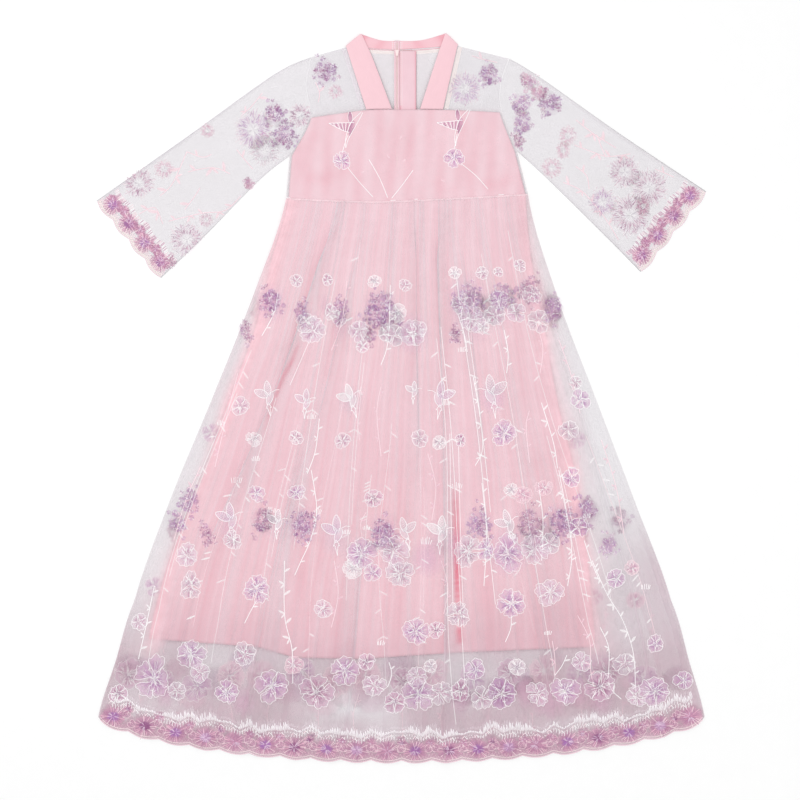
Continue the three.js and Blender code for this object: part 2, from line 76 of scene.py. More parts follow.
# ---- Places on the dress, left being -X ----
CENTRE_BACK = -6
NECK_BACK_SEAM = 525
NECK_BACK_TOP = 538.5
SIDES = {
    "left": {
        "neck_peak": (-58.5, 548.5),
        "neck_base": (-82.5, 529),
        "band_middle": (-42, 512),
        "band_back_top": (-30, 539.5),
        "band_foot": (-52.5, -13),
        "shoulder": (-135, 514),
        "armhole_middle": (-142, 472),
        "bodice_corner": (-138, 423),
        "underarm": (-167, 366),
        "waist": (-172.5, 301.5),
        "sleeve_top": [(-190, 488), (-316, 398)],
        "cuff_top": (-456, 299),
        "sleeve_under": [(-213, 329), (-300, 240)],
        "cuff_under": (-360, 183),
    },
    "right": {
        "neck_peak": (66, 549.5),
        "neck_base": (85, 531),
        "band_middle": (53, 512),
        "band_back_top": (30, 539.5),
        "band_foot": (63.5, 28),
        "shoulder": (162, 512),
        "armhole_middle": (149, 472),
        "bodice_corner": (151.5, 431),
        "underarm": (174, 373),
        "waist": (190.5, 307.5),
        "sleeve_top": [(205, 486), (330, 398)],
        "cuff_top": (457.5, 313),
        "sleeve_under": [(222, 329), (312, 240)],
        "cuff_under": (359, 192),
    },
}
WAIST_MIDDLE = [(-45, 296.5), (60, 300.5)]
BODICE_TOP = [(-52.5, 434.5), (5, 435), (63.5, 435)]
NET_SEAM_Y = [-480, -390, -300, -150, 0, 150, 310]
NET_SEAM_LEFT = [-455, -428, -400, -347, -285, -225, -172]
NET_SEAM_RIGHT = [456, 432, 405, 350, 293, 236, 190]
SATIN_SEAM_Y = [-375, -240, -110, 0, 105, 210, 310]
SATIN_SEAM_LEFT = [-378, -346, -295, -258, -219, -194, -168]
SATIN_SEAM_RIGHT = [291, 280, 261, 234, 215, 195, 186]
SATIN_HEM_X = [-378, -215, -160, -60, 90, 291]
SATIN_HEM_Y = [-358, -370, -386, -388, -378, -370]
NET_HEM_SIDE = -474
NET_HEM_SAG = 66
NET_HEM_ROUND = 0.65
SCALLOP_DEPTH = 4.5
HEM_SCALLOPS = 20
CUFF_SCALLOPS = 4

# ---- Gathers and folds ----
FRONT_GATHERS = 24
BACK_GATHERS = 20
GATHER_HEIGHT = [1.4, 3.2, 2.4]  # at the waist, half way down and at the hem
FOLD_FADE = 0.12
NET_GRID = (561, 150)  # columns and rows
SATIN_GRID = (150, 170)
SLOT_X = 81  # the slot in the net front through which the lining shows
SLOT_TOP = -90
SLOT_LEAN = 0.022
SLOT_WIDTH = 4.5
SATIN_FOLDS = 7
SATIN_FOLD_HEIGHT = 0.9
SLEEVE_WRINKLE = 1.3
SLEEVE_MIDDLE = 1.3
# A fold's line meets the waist and the hem at these shares of their width and shows between two shares of
# the length. height and lean are in millimetres: lean is how far its crest is pushed sideways.
Fold = namedtuple("Fold", "waist hem start end height width lean")
LONG_FOLDS = [Fold(*row) for row in [
    (0.235, 0.06, 0.0, 0.62, 4.6, 0.026, -12), (0.34, 0.23, 0.1, 0.55, 2.6, 0.022, -7),
    (0.52, 0.53, 0.0, 0.5, 2.8, 0.02, 6), (0.65, 0.585, 0.0, 1.0, 4.4, 0.024, -11),
    (0.7, 0.66, 0.1, 0.45, 2.4, 0.02, 7), (0.3, 0.25, 0.45, 1.0, 2.8, 0.03, -7),
    (0.42, 0.38, 0.6, 1.0, 3.2, 0.028, 8), (0.82, 0.78, 0.35, 1.0, 3.0, 0.03, -8),
    (0.95, 0.9, 0.2, 0.9, 2.4, 0.03, 6),
]]

# ---- Zip ----
ZIP_FOOT = 306
TAPE_WIDTH = 3.9
GUARD_WIDTH = 24.5
GUARD_TOP = 523
COIL_PITCH = 1.6

SHIFT = np.array([
    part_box("zip_tape_left")[1][0] * 1000 - (CENTRE_BACK - SEAM / 2),
    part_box("zip_tape_left")[1][1] * 1000 - NECK_BACK_TOP,
    0.0,
])


# ---- Curves and patches, as whole arrays of shares ----


def smooth(value, low, high):
    """The smooth step 3t^2 - 2t^3 of the share t of the way from low to high."""
    share = np.clip((value - low) / (high - low), 0, 1)
    return share * share * (3 - 2 * share)


def mix(first, second, share):
    """first + (second - first) times share."""
    return first + (second - first) * share


def cubic(places, share):
    """A Catmull-Rom curve with its places at even shares: each span is the cubic with the slopes of its
    neighbours' chords, and the end places count twice."""
    knots = np.asarray(places, float)
    padded = np.concatenate([knots[:1], knots, knots[-1:]])
    at = np.clip(share, 0, 1) * (len(knots) - 1)
    start = np.minimum(at.astype(int), len(knots) - 2)
    t = (at - start)[..., None]
    before, here, there, after = (padded[start + k] for k in range(4))
    slope_in = (there - before) / 2
    slope_out = (after - here) / 2
    bend = (2 * here - 2 * there + slope_in
            + slope_out) * t - 3 * here + 3 * there - 2 * slope_in - slope_out
    return (bend * t + slope_in) * t + here


def through(*places):
    """The same curve as a function of its share of the length: the dense curve is looked up by its running
    length."""
    fine = cubic(places, np.linspace(0, 1, 401))
    run = np.concatenate([[0], np.cumsum(np.linalg.norm(np.diff(fine, axis=0), axis=1))])
    run /= run[-1]
    return lambda t: np.stack([np.interp(t, run, fine[:, 0]), np.interp(t, run, fine[:, 1])], -1)


def by_places(*places):
    """The curve with its places at even shares."""
    return lambda t: cubic(places, t)


def stretch(line, start, end):
    """The stretch of a line between two shares."""
    return lambda t: line(mix(start, end, t))


def joined(first, second, at):
    """Two lines end to end, meeting at a share."""
    return lambda t: np.where((t < at)[..., None], first(t / at), second((t - at) / (1 - at)))


def share_at(line, x):
    """The share at which a line that runs one way in x reaches x, from a dense table of the line."""
    shares = np.linspace(0, 1, 2001)
    along = line(shares)[:, 0]
    order = np.argsort(along)
    return float(np.interp(x, along[order], shares[order]))


def patch(top, bottom, left, right):
    """A Coons patch: the blend of top and bottom in v, plus that of left and right in u, less that of the
    four corners in both."""

    def area(u, v):
        u, v = np.broadcast_arrays(u, v)
        one_u = u[..., None]
        one_v = v[..., None]
        ends = np.array([0.0, 1.0])
        (top_left, top_right), (foot_left, foot_right) = top(ends), bottom(ends)
        corners = mix(mix(top_left, top_right, one_u), mix(foot_left, foot_right, one_u), one_v)
        return mix(top(u), bottom(u), one_v) + mix(left(v), right(v), one_u) - corners

    return area


def trimmed(area):
    """The same patch drawn in by half of a seam's clearance on its four sides."""
    half = SEAM / 2 + 0.03
    ends = np.array([0.0, 1.0])
    middle = np.array([0.5, 0.5])
    share_u = half / np.linalg.norm(np.diff(area(ends, middle), axis=0))
    share_v = half / np.linalg.norm(np.diff(area(middle, ends), axis=0))
    return lambda u, v: area(mix(share_u, 1 - share_u, u), mix(share_v, 1 - share_v, v))


def shares(columns, rows):
    """Even shares u along a row and v down a column, as arrays that broadcast to rows by columns."""
    return np.linspace(0, 1, columns)[None, :], np.linspace(0, 1, rows)[:, None]


def from_side(area, u, v):
    """Distance in from the nearer side of an area, along its row."""
    width = np.linalg.norm(area(np.ones_like(v), v) - area(np.zeros_like(v), v), axis=-1)
    return np.minimum(u, 1 - u) * width


def ripple(x, y, seed):
    """A soft uneven ripple from -1 to 1: the mean of five sines whose directions, pitches and starts come
    from the seed."""
    dice = np.random.default_rng(seed)
    total = 0
    for turn, pitch, start in zip(dice.uniform(0, np.pi, 5), dice.uniform(0.6, 1.7, 5),
                                  dice.uniform(0, 6.3, 5)):
        total = total + np.sin((x * np.cos(turn) + y * np.sin(turn)) * pitch + start)
    return total / 5


def heading(angle):
    """The way, one unit long, at each angle."""
    return np.stack([np.cos(angle), np.sin(angle)], -1)


def together(*values):
    """Arrays of matching shapes as the values of each place."""
    return np.stack(np.broadcast_arrays(*values), -1)


def drawn(places, count):
    """The cubic curve as a count of points at even shares."""
    return cubic(places, np.linspace(0, 1, count))


# ---- Meshes ----


def quads(rows, columns, wrap=False):
    """The corners of each quad of a grid, anticlockwise where columns run to +X and rows run to +Y."""
    row = np.arange(rows - 1)[:, None]
    column = np.arange(columns if wrap else columns - 1)[None, :]
    after = (column + 1) % columns
    corners = [row * columns + column, row * columns + after, (row + 1) * columns + after,
               (row + 1) * columns + column]
    return np.stack(corners, -1).reshape(-1, 4)


def new_piece(name, points, faces, material, uv=None, values=None, colours=None):
    """Puts points (millimetres, in the dress's places) and four-sided faces into a mesh, with a UV for each
    point, named values and named colours."""
    mesh = bpy.data.meshes.new(name)
    mesh.vertices.add(len(points))
    mesh.vertices.foreach_set("co", ((points + SHIFT) / 1000).ravel())
    mesh.loops.add(faces.size)
    mesh.loops.foreach_set("vertex_index", faces.ravel().astype(np.int32))
    mesh.polygons.add(len(faces))
    mesh.polygons.foreach_set("loop_start", np.arange(0, faces.size, 4, dtype=np.int32))
    mesh.update(calc_edges=True)
    mesh.polygons.foreach_set("use_smooth", np.ones(len(faces), bool))
    if uv is not None:
        layer = mesh.uv_layers.new(name="cloth")
        layer.data.foreach_set("uv", uv.reshape(-1, 2)[faces.ravel()].astype(np.float32).ravel())
    for key, value in (values or {}).items():
        spread = mesh.attributes.new(key, "FLOAT", "POINT")
        spread.data.foreach_set("value", np.asarray(value, np.float32).ravel())
    for key, colour in (colours or {}).items():
        spread = mesh.attributes.new(key, "FLOAT_COLOR", "POINT")
        rgba = np.ones((len(points), 4), np.float32)
        rgba[:, :3] = colour.reshape(-1, 3)
        spread.data.foreach_set("color", rgba.ravel())
    mesh.materials.append(material)
    mesh.validate()
    piece = bpy.data.objects.new(name, mesh)
    bpy.context.scene.collection.objects.link(piece)
    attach(piece, "root")
    return piece


def cloth_grid(area, height, columns, rows, push=None):
    """A grid of points on an area: places from the area, z from height(spot, u, v), and x moved by
    push(spot, u, v) where the cloth doubles over."""
    u, v = shares(columns, rows)
    spot = area(u, v)
    z = height(spot, u, v)
    if push is not None:
        spot = spot.copy()
        spot[..., 0] += push(spot, u, v)
    return np.concatenate([spot, np.broadcast_to(z, spot.shape[:2])[..., None]], -1)


def run_lengths(grid):
    """UV in metres of cloth: the length along each row from its middle, and the place's height."""
    steps = np.linalg.norm(np.diff(grid, axis=1), axis=-1)
    along = np.concatenate([np.zeros((len(grid), 1)), np.cumsum(steps, axis=1)], axis=1)
    along -= along[:, -1:] / 2
    return np.stack([along, grid[..., 1]], -1) / 1000


def steepness(grid):
    """How much more thread a place on the cloth shows from above: 1/nz - 1, where n is the unit normal from
    the cross product of the grid's two gradients."""
    normal = np.cross(np.gradient(grid, axis=1), np.gradient(grid, axis=0))
    upright = np.abs(normal[..., 2]) / np.maximum(np.linalg.norm(normal, axis=-1), 1e-9)
    return np.clip(1 / np.maximum(upright, 0.2) - 1, 0, 4)


def thicken(piece, millimetres):
    """A live Solidify, centred on the sheet."""
    wall = piece.modifiers.new("cloth thickness", "SOLIDIFY")
    wall.thickness = millimetres / 1000
    wall.offset = 0


def cloth(name, grid, material, nodes, thickness=0, values=None):
    """One sheet of cloth from a grid whose rows run down the dress, with UVs in metres of cloth and the named
    values, thickened when a thickness is given; the model's solids named in nodes are hidden."""
    rows, columns = grid.shape[:2]
    faces = quads(rows, columns)[:, ::-1]
    piece = new_piece(name, grid.reshape(-1, 3), faces, material, run_lengths(grid), values)
    if thickness:
        thicken(piece, thickness)
    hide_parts(*nodes)
    return piece


# ---- Lines and areas that pieces share ----


def armhole_of(side):
    """The armhole from the shoulder to the underarm."""
    return by_places(side["shoulder"], side["armhole_middle"], side["bodice_corner"], side["underarm"])


ARMHOLE_AT_BODICE = 2 / 3
bodice_top = by_places(SIDES["left"]["bodice_corner"], *BODICE_TOP, SIDES["right"]["bodice_corner"])
waist_edge = through(SIDES["left"]["waist"], *WAIST_MIDDLE, SIDES["right"]["waist"])


def bodice_area(inset):
    """The four-sided bodice panel, drawn in at each side by inset."""

    def edge(side, inward):
        armhole = stretch(armhole_of(side), ARMHOLE_AT_BODICE, 1)
        line = joined(armhole, through(side["underarm"], side["waist"]), 0.45)
        return lambda v: line(v) + [inward, 0]

    def drawn_in(line):
        return lambda u: line(u) + np.stack([mix(inset, -inset, u), 0 * u], -1)

    left = edge(SIDES["left"], inset)
    right = edge(SIDES["right"], -inset)
    return patch(drawn_in(bodice_top), drawn_in(waist_edge), left, right)


net_bodice = bodice_area(0)
satin_bodice = bodice_area(SATIN_INSET)


def yoke_front_area(side):
    """The yoke front between the shoulder, the bodice, the armhole and the neck band."""
    corner = 0 if side is SIDES["left"] else 1
    foot = stretch(bodice_top, corner, share_at(bodice_top, side["band_foot"][0]))
    foot_end = foot(np.array([1.0]))[0]
    armhole = stretch(armhole_of(side), 0, ARMHOLE_AT_BODICE)
    shoulder = through(side["shoulder"], side["neck_base"])
    return patch(shoulder, foot, armhole, through(side["neck_base"], foot_end))


def yoke_back_area(side):
    """The yoke back, which runs on to the zip."""
    corner = 0 if side is SIDES["left"] else 1
    neck_seam = (CENTRE_BACK, NECK_BACK_SEAM)
    foot = stretch(bodice_top, corner, share_at(bodice_top, CENTRE_BACK))
    foot_end = foot(np.array([1.0]))[0]
    armhole = stretch(armhole_of(side), 0, ARMHOLE_AT_BODICE)
    shoulder = joined(through(side["shoulder"], side["neck_base"]), through(side["neck_base"], neck_seam),
                      0.5)
    return patch(shoulder, foot, armhole, through(neck_seam, foot_end))


def sleeve_area(side):
    """The sleeve from the armhole to the scalloped cuff. The cuff's scallops are |sin| lobes, set outwards."""
    cuff = through(side["cuff_top"], side["cuff_under"])
    run = np.subtract(side["cuff_under"], side["cuff_top"])
    outward = np.array([run[1], -run[0]]) / np.linalg.norm(run)
    outward *= -np.sign(side["cuff_top"][0])

    def scalloped(s):
        return cuff(s) + outward * (SCALLOP_DEPTH * np.abs(np.sin(CUFF_SCALLOPS * np.pi * s)))[..., None]

    upper = through(side["shoulder"], *side["sleeve_top"], side["cuff_top"])
    under = through(side["underarm"], *side["sleeve_under"], side["cuff_under"])
    return patch(armhole_of(side), scalloped, upper, under)


def soft_seam(heights, values, y):
    """A side seam's x at a height: cubic through the table's rows, at their own heights."""
    row = np.interp(y, heights, np.linspace(0, 1, len(heights)))
    return cubic(np.array(values, float)[:, None], row)[..., 0]


def net_hem(u):
    """The scalloped hem: a superellipse-like sag, (1 - x^2)^round, and |sin| lobes."""
    across = 2 * u - 1
    sag = NET_HEM_SAG * np.maximum(0, 1 - across**2) ** NET_HEM_ROUND
    lobe = SCALLOP_DEPTH * np.abs(np.sin(HEM_SCALLOPS * np.pi * u))
    left = soft_seam(NET_SEAM_Y, NET_SEAM_LEFT, NET_HEM_SIDE)
    right = soft_seam(NET_SEAM_Y, NET_SEAM_RIGHT, NET_HEM_SIDE)
    return np.stack([mix(left, right, u), NET_HEM_SIDE - sag - lobe], -1)


def satin_hem(u):
    """The lining's hem, level by level."""
    x = mix(SATIN_HEM_X[0], SATIN_HEM_X[-1], u)
    return np.stack([x, np.interp(x, SATIN_HEM_X, SATIN_HEM_Y)], -1)


def seam_line(heights, values, start, end):
    """A side seam from its waist end to its hem end: the table's line, moved so that its ends meet them."""
    miss_start = soft_seam(heights, values, start[1]) - start[0]
    miss_end = soft_seam(heights, values, end[1]) - end[0]

    def line(v):
        y = mix(start[1], end[1], v)
        return np.stack([soft_seam(heights, values, y) - mix(miss_start, miss_end, v), y], -1)

    return line


def satin_waist(u):
    """The waist seam, drawn in at the sides."""
    return waist_edge(u) + np.stack([mix(SATIN_INSET, -SATIN_INSET, u), 0 * u], -1)


def skirt_area(waist, hem, heights, left, right):
    """A skirt panel between its waist, its hem and its two side seams."""
    (waist_left, waist_right), (hem_left,
                                hem_right) = waist(np.array([0.0, 1.0])), hem(np.array([0.0, 1.0]))
    return patch(
        waist,
        hem,
        seam_line(heights, left, waist_left, hem_left),
        seam_line(heights, right, waist_right, hem_right),
    )


net_skirt = skirt_area(waist_edge, net_hem, NET_SEAM_Y, NET_SEAM_LEFT, NET_SEAM_RIGHT)
satin_skirt = skirt_area(satin_waist, satin_hem, SATIN_SEAM_Y, SATIN_SEAM_LEFT, SATIN_SEAM_RIGHT)


def back_lift(y):
    """How far the back's gathers lift what lies on them."""
    return BACK_GATHER_RISE * smooth(SIDES["left"]["waist"][1] - y, 10, 160)


def ridge(offset):
    """A cosine hump, 1 in the middle and 0 from an offset of 1."""
    return np.where(np.abs(offset) < 1, 0.5 + 0.5 * np.cos(np.pi * offset), 0)


def gather(u, count, v):
    """Even gathers whose crests sway and differ in height along the row."""
    sway = 0.3 * np.sin(3.1 * count * u) * v
    crest = 0.5 - 0.5 * np.cos(2 * np.pi * (count * u + sway))
    return crest * (0.7 + 0.3 * np.sin(5.3 * np.floor(count * u) + 1))


def fold_shown(fold, v):
    """1 where a long fold shows along its length, and 0 where it has died away."""
    start = smooth(v, fold.start - FOLD_FADE, fold.start + FOLD_FADE)
    return start * (1 - smooth(v, fold.end - FOLD_FADE, fold.end + FOLD_FADE))


def net_front_height(spot, u, v):
    """The net front's height: it climbs onto the lining, and carries the gathers, the fine pleats of the
    waist and the long folds."""
    x, y = spot[..., 0], spot[..., 1]
    left = np.interp(y, SATIN_SEAM_Y, SATIN_SEAM_LEFT)
    right = np.interp(y, SATIN_SEAM_Y, SATIN_SEAM_RIGHT)
    side_in = np.minimum(x - left, right - x)
    hem_in = y - np.interp(x, SATIN_HEM_X, SATIN_HEM_Y)
    inside = from_side(net_skirt, u, v)
    on_satin = smooth(side_in, -LIFT_RUN, -CLEAR_RUN) * smooth(hem_in, -LIFT_RUN, -CLEAR_RUN)
    crown = (SATIN_CROWN + SATIN_FOLD_HEIGHT) * smooth(side_in, -CLEAR_RUN, CROWN_RUN - CLEAR_RUN)
    climb = (on_satin * (2 * LAYER + crown) + back_lift(y)) * smooth(inside, 0, NET_SHOULDER)
    flare = np.interp(v, [0, 0.5, 1], GATHER_HEIGHT)
    folds = flare * gather(u, FRONT_GATHERS, v)
    for fold in LONG_FOLDS:
        line = mix(fold.waist, fold.hem, v)
        folds = folds + fold.height * fold_shown(fold, v) * ridge((u - line) / fold.width)
    pleats = 0.5 + 0.5 * np.sin(2 * np.pi * (70 * u + 1.4 * np.sin(23 * u + 2)) + 2 * v)
    fine = 1.1 * pleats * (1 - smooth(v, 0.05, 0.55)) * (0.6 + 0.4 * np.sin(61 * u))
    streaks = 0.55 * np.sin(2 * np.pi * (43 * u + 0.6 * np.sin(17 * u)) + 5 * v) * smooth(v, 0.1, 0.4)
    folds = folds + fine + streaks * (0.5 + 0.5 * np.sin(29 * u + 3 * v))
    return LAYER + 0.9 + climb + folds * smooth(inside, 0, CROWN_RUN)


def streaks(u, v, seed):
    """Uneven soft streaks down the cloth, -1 to 1: sines of the share across, at mixed counts, that wander
    slowly on the way down."""
    dice = np.random.default_rng(seed)
    total = 0
    for count in (9, 17, 29, 46, 71):
        wander = dice.uniform(-0.5, 0.5) * np.sin(2.2 * v + dice.uniform(0, 6))
        strength = 0.6 + 0.4 * np.sin(dice.uniform(2, 5) * v + dice.uniform(0, 6))
        total = total + strength * np.sin(2 * np.pi * (count * u + wander) + dice.uniform(0, 6))
    return total / 2.6


def net_density(u, v):
    """How much more thread shows where the net is gathered: its streaks, strongest at the waist, and the two
    doubled edges of each long fold."""
    dense = 0.8 * np.clip(streaks(u, v, 51), 0, 1) * (0.6 + 0.4 * (1 - smooth(v, 0, 0.5)))
    for fold in LONG_FOLDS:
        line = mix(fold.waist, fold.hem, v)
        beside = line + np.sign(fold.lean) * fold.width * 0.8
        shown = fold_shown(fold, v) * fold.height / 4.6
        dense = dense + 1.5 * shown * ridge((u - beside) / 0.0045) + 0.5 * shown * ridge((u - line) / fold.width)
    return dense


def net_front_push(spot, u, v):
    """How far each long fold's crest is pushed sideways, which doubles the net at one side of it."""
    push = 0
    for fold in LONG_FOLDS:
        line = mix(fold.waist, fold.hem, v)
        push = push + fold.lean * fold_shown(fold, v) * smooth(v, 0, 0.12) * ridge((u - line) / fold.width)
    return push


# ---- Creases of the lining ----
# Each is a soft trough along a curve. depth and width are in millimetres, and the third column is the
# strength of the painted shade, a deeper pink, laid in the trough.
Crease = namedtuple("Crease", "depth width deepen places")
SKIRT_LINES = [
    [(73, -50), (75, -180), (78, -324)],
    [(86, -70), (89, -200), (94, -340)],
    [(-134, 96), (-152, 54), (-166, 22)],
]
SKIRT_CREASES = [Crease(*row) for row in [
    (1.2, 3.6, 1.0, [(-146, 100), (-162, 62), (-178, 30), (-194, -12), (-212, -70)]),
    (0.8, 9, 0.35, [(-95, 290), (-128, 190), (-180, 40)]),
    (0.8, 10, 0.3, [(-84, 150), (-105, 60), (-112, 20)]),
    (1.4, 5.5, 1.15, [(80, -120), (81, -180), (83, -240), (85, -350)]),
    (1.0, 5, 0.9, [(87, -338), (88, -368)]), (0.7, 8, 0.3, [(16, 290), (18, 120), (14, 10)]),
    (0.8, 9, 0.35, [(60, 280), (66, 100), (70, -60)]),
    (0.7, 12, 0.25, [(-168, -120), (-150, -240), (-140, -370)]),
    (0.7, 12, 0.25, [(-120, -170), (-112, -270), (-96, -380)]), (0.7, 10, 0.3, [(122, -230), (124, -330)]),
    (0.6, 14, 0.2, [(150, 270), (170, 120), (200, -60)]),
    (0.6, 14, 0.2, [(-40, 0), (-30, -160), (-44, -370)]),
    (0.6, 12, 0.2, [(0, -100), (6, -240), (-4, -375)]),
    (0.6, 14, 0.2, [(200, -20), (225, -200), (240, -365)]),
    (0.6, 16, 0.2, [(-230, -60), (-270, -220), (-300, -355)]),
]]
BODICE_CREASES = [Crease(*row) for row in [
    (0.7, 12, 0.3, [(-150, 345), (-120, 330), (-60, 360)]),
    (0.6, 9, 0.3, [(-125, 410), (-140, 380), (-150, 320)]),
    (0.7, 14, 0.25, [(-20, 420), (-10, 370), (-22, 305)]),
    (0.5, 10, 0.2, [(24, 425), (12, 380), (-16, 340)]),
    (0.6, 10, 0.3, [(110, 330), (140, 322), (178, 340)]),
    (0.6, 12, 0.25, [(100, 425), (108, 370), (92, 310)]), (0.5, 9, 0.2, [(40, 330), (62, 318), (90, 312)]),
]]


def creased(grid, creases):
    """Lowers a grid along its creases, each a bell exp(-(distance / width)^2) from the nearest point of its
    curve, and returns how strong the painted shade, a deeper pink, is there."""
    deepen = np.zeros(grid.shape[:2])
    for crease in creases:
        line = drawn(crease.places, 40)
        apart = grid[..., None, :2] - line
        distance = (apart**2).sum(-1)
        share = distance.argmin(-1) / 39
        taper = smooth(np.minimum(share, 1 - share), 0, 0.3)
        bell = np.exp(-(distance.min(-1) / crease.width**2)) * taper
        grid[..., 2] -= crease.depth * bell
        # painted shade: the strongest crease's deeper pink at each place
        deepen = np.maximum(deepen, crease.deepen**1.5 * bell)
    return deepen


# ---- Colours ----


def linear(red, green, blue):
    """A display colour from 0 to 255 as linear light."""
    share = np.array([red, green, blue]) / 255
    return np.where(share < 0.04045, share / 12.92, ((share + 0.055) / 1.055) ** 2.4)


WHITE = linear(255, 252, 253)
CREAM = linear(248, 234, 230)
BLUSH = linear(250, 222, 229)
ROSE = linear(238, 184, 206)
MAUVE = linear(204, 146, 176)
LAVENDER = linear(208, 164, 204)
LILAC = linear(228, 200, 222)
PURPLE = linear(170, 112, 180)
PLUM = linear(150, 84, 134)
GREY = linear(194, 184, 196)
PEARL = linear(236, 224, 233)
# a petal's inner and outer colour, its strokes, its outline and its heart
Shade = namedtuple("Shade", "inner outer stroke line heart")
SHADES = {
    "lavender": Shade(LAVENDER, LILAC, PURPLE, WHITE, WHITE),
    "purple": Shade(PURPLE, LAVENDER, PLUM, WHITE, WHITE),
    "plum": Shade(MAUVE, LILAC, PLUM, WHITE, GREY),
    "grey": Shade(GREY, PEARL, MAUVE, WHITE, WHITE),
    "pale": Shade(LILAC, PEARL, MAUVE, WHITE, WHITE),
    "rose": Shade(ROSE, BLUSH, MAUVE, BLUSH, WHITE),
    "white": Shade(WHITE, WHITE, GREY, WHITE, GREY),
    "blush": Shade(linear(248, 212, 221), BLUSH, ROSE, linear(247, 214, 222), WHITE),
}

THREAD = 0.9  # width of a laid thread
STITCH_PITCH = 0.8  # spacing of the threads of a filled petal
NET_LETS_THROUGH = 0.4  # share of the light that passes on through the net
THREAD_LETS_THROUGH = 0.92  # share of the light that passes on through a thread
CLEAR_LAYERS = 5  # clear layers under which the next one is solid
GOLDEN_ANGLE = 2.39996  # radians from one floret of a bunch to the next


class Ground:
    """The height of the cloth under a place, from a raster of the highest point in each small cell."""

    CELL = 1.5
    FINER = 4  # steps between two points of a grid
    SPREAD = 6  # cells by which heights are carried past the cloth's edge

    def __init__(self, *grids):
        spots = np.concatenate([self.denser(grid).reshape(-1, 3) for grid in grids])
        self.corner = spots[:, :2].min(0) - 2 * self.CELL
        size = np.ceil((spots[:, :2].max(0) - self.corner) / self.CELL).astype(int) + 3
        self.high = np.full(size, -1.0)
        self.covered = None
        cell = ((spots[:, :2] - self.corner) / self.CELL).astype(int)
        np.maximum.at(self.high, (cell[:, 0], cell[:, 1]), spots[:, 2])
        for ring in range(self.SPREAD):
            if ring == 1:
                self.covered = self.high >= 0
            around = np.pad(self.high, 1, constant_values=-1)
            best = np.maximum.reduce([around[:-2, 1:-1], around[2:, 1:-1], around[1:-1, :-2],
                                      around[1:-1, 2:]])
            self.high = np.where(self.high < 0, best, self.high)
        self.high = np.maximum(self.high, 0)

    def under(self, places):
        """Whether there is cloth under each place, to within a cell."""
        cell = np.clip(((places - self.corner) / self.CELL).astype(int), 0, np.array(self.high.shape) - 1)
        return self.covered[cell[..., 0], cell[..., 1]]

    def denser(self, grid):
        """The grid with straight steps between its points."""
        for axis in (0, 1):
            count = (grid.shape[axis] - 1) * self.FINER + 1
            at = np.linspace(0, grid.shape[axis] - 1, count)
            low = np.minimum(at.astype(int), grid.shape[axis] - 2)
            share = at - low
            shape = [1, 1, 1]
            shape[axis] = count
            grid = mix(np.take(grid, low, axis), np.take(grid, low + 1, axis), share.reshape(shape))
        return grid

    def at(self, places):
        """The height at each place, straight between the cells' middles."""
        spot = (places - self.corner) / self.CELL - 0.5
        low = np.clip(spot.astype(int), 0, np.array(self.high.shape) - 2)
        share = np.clip(spot - low, 0, 1)
        i, j = low[..., 0], low[..., 1]
        near = mix(self.high[i, j], self.high[i + 1, j], share[..., 0])
        far = mix(self.high[i, j + 1], self.high[i + 1, j + 1], share[..., 0])
        return mix(near, far, share[..., 1])


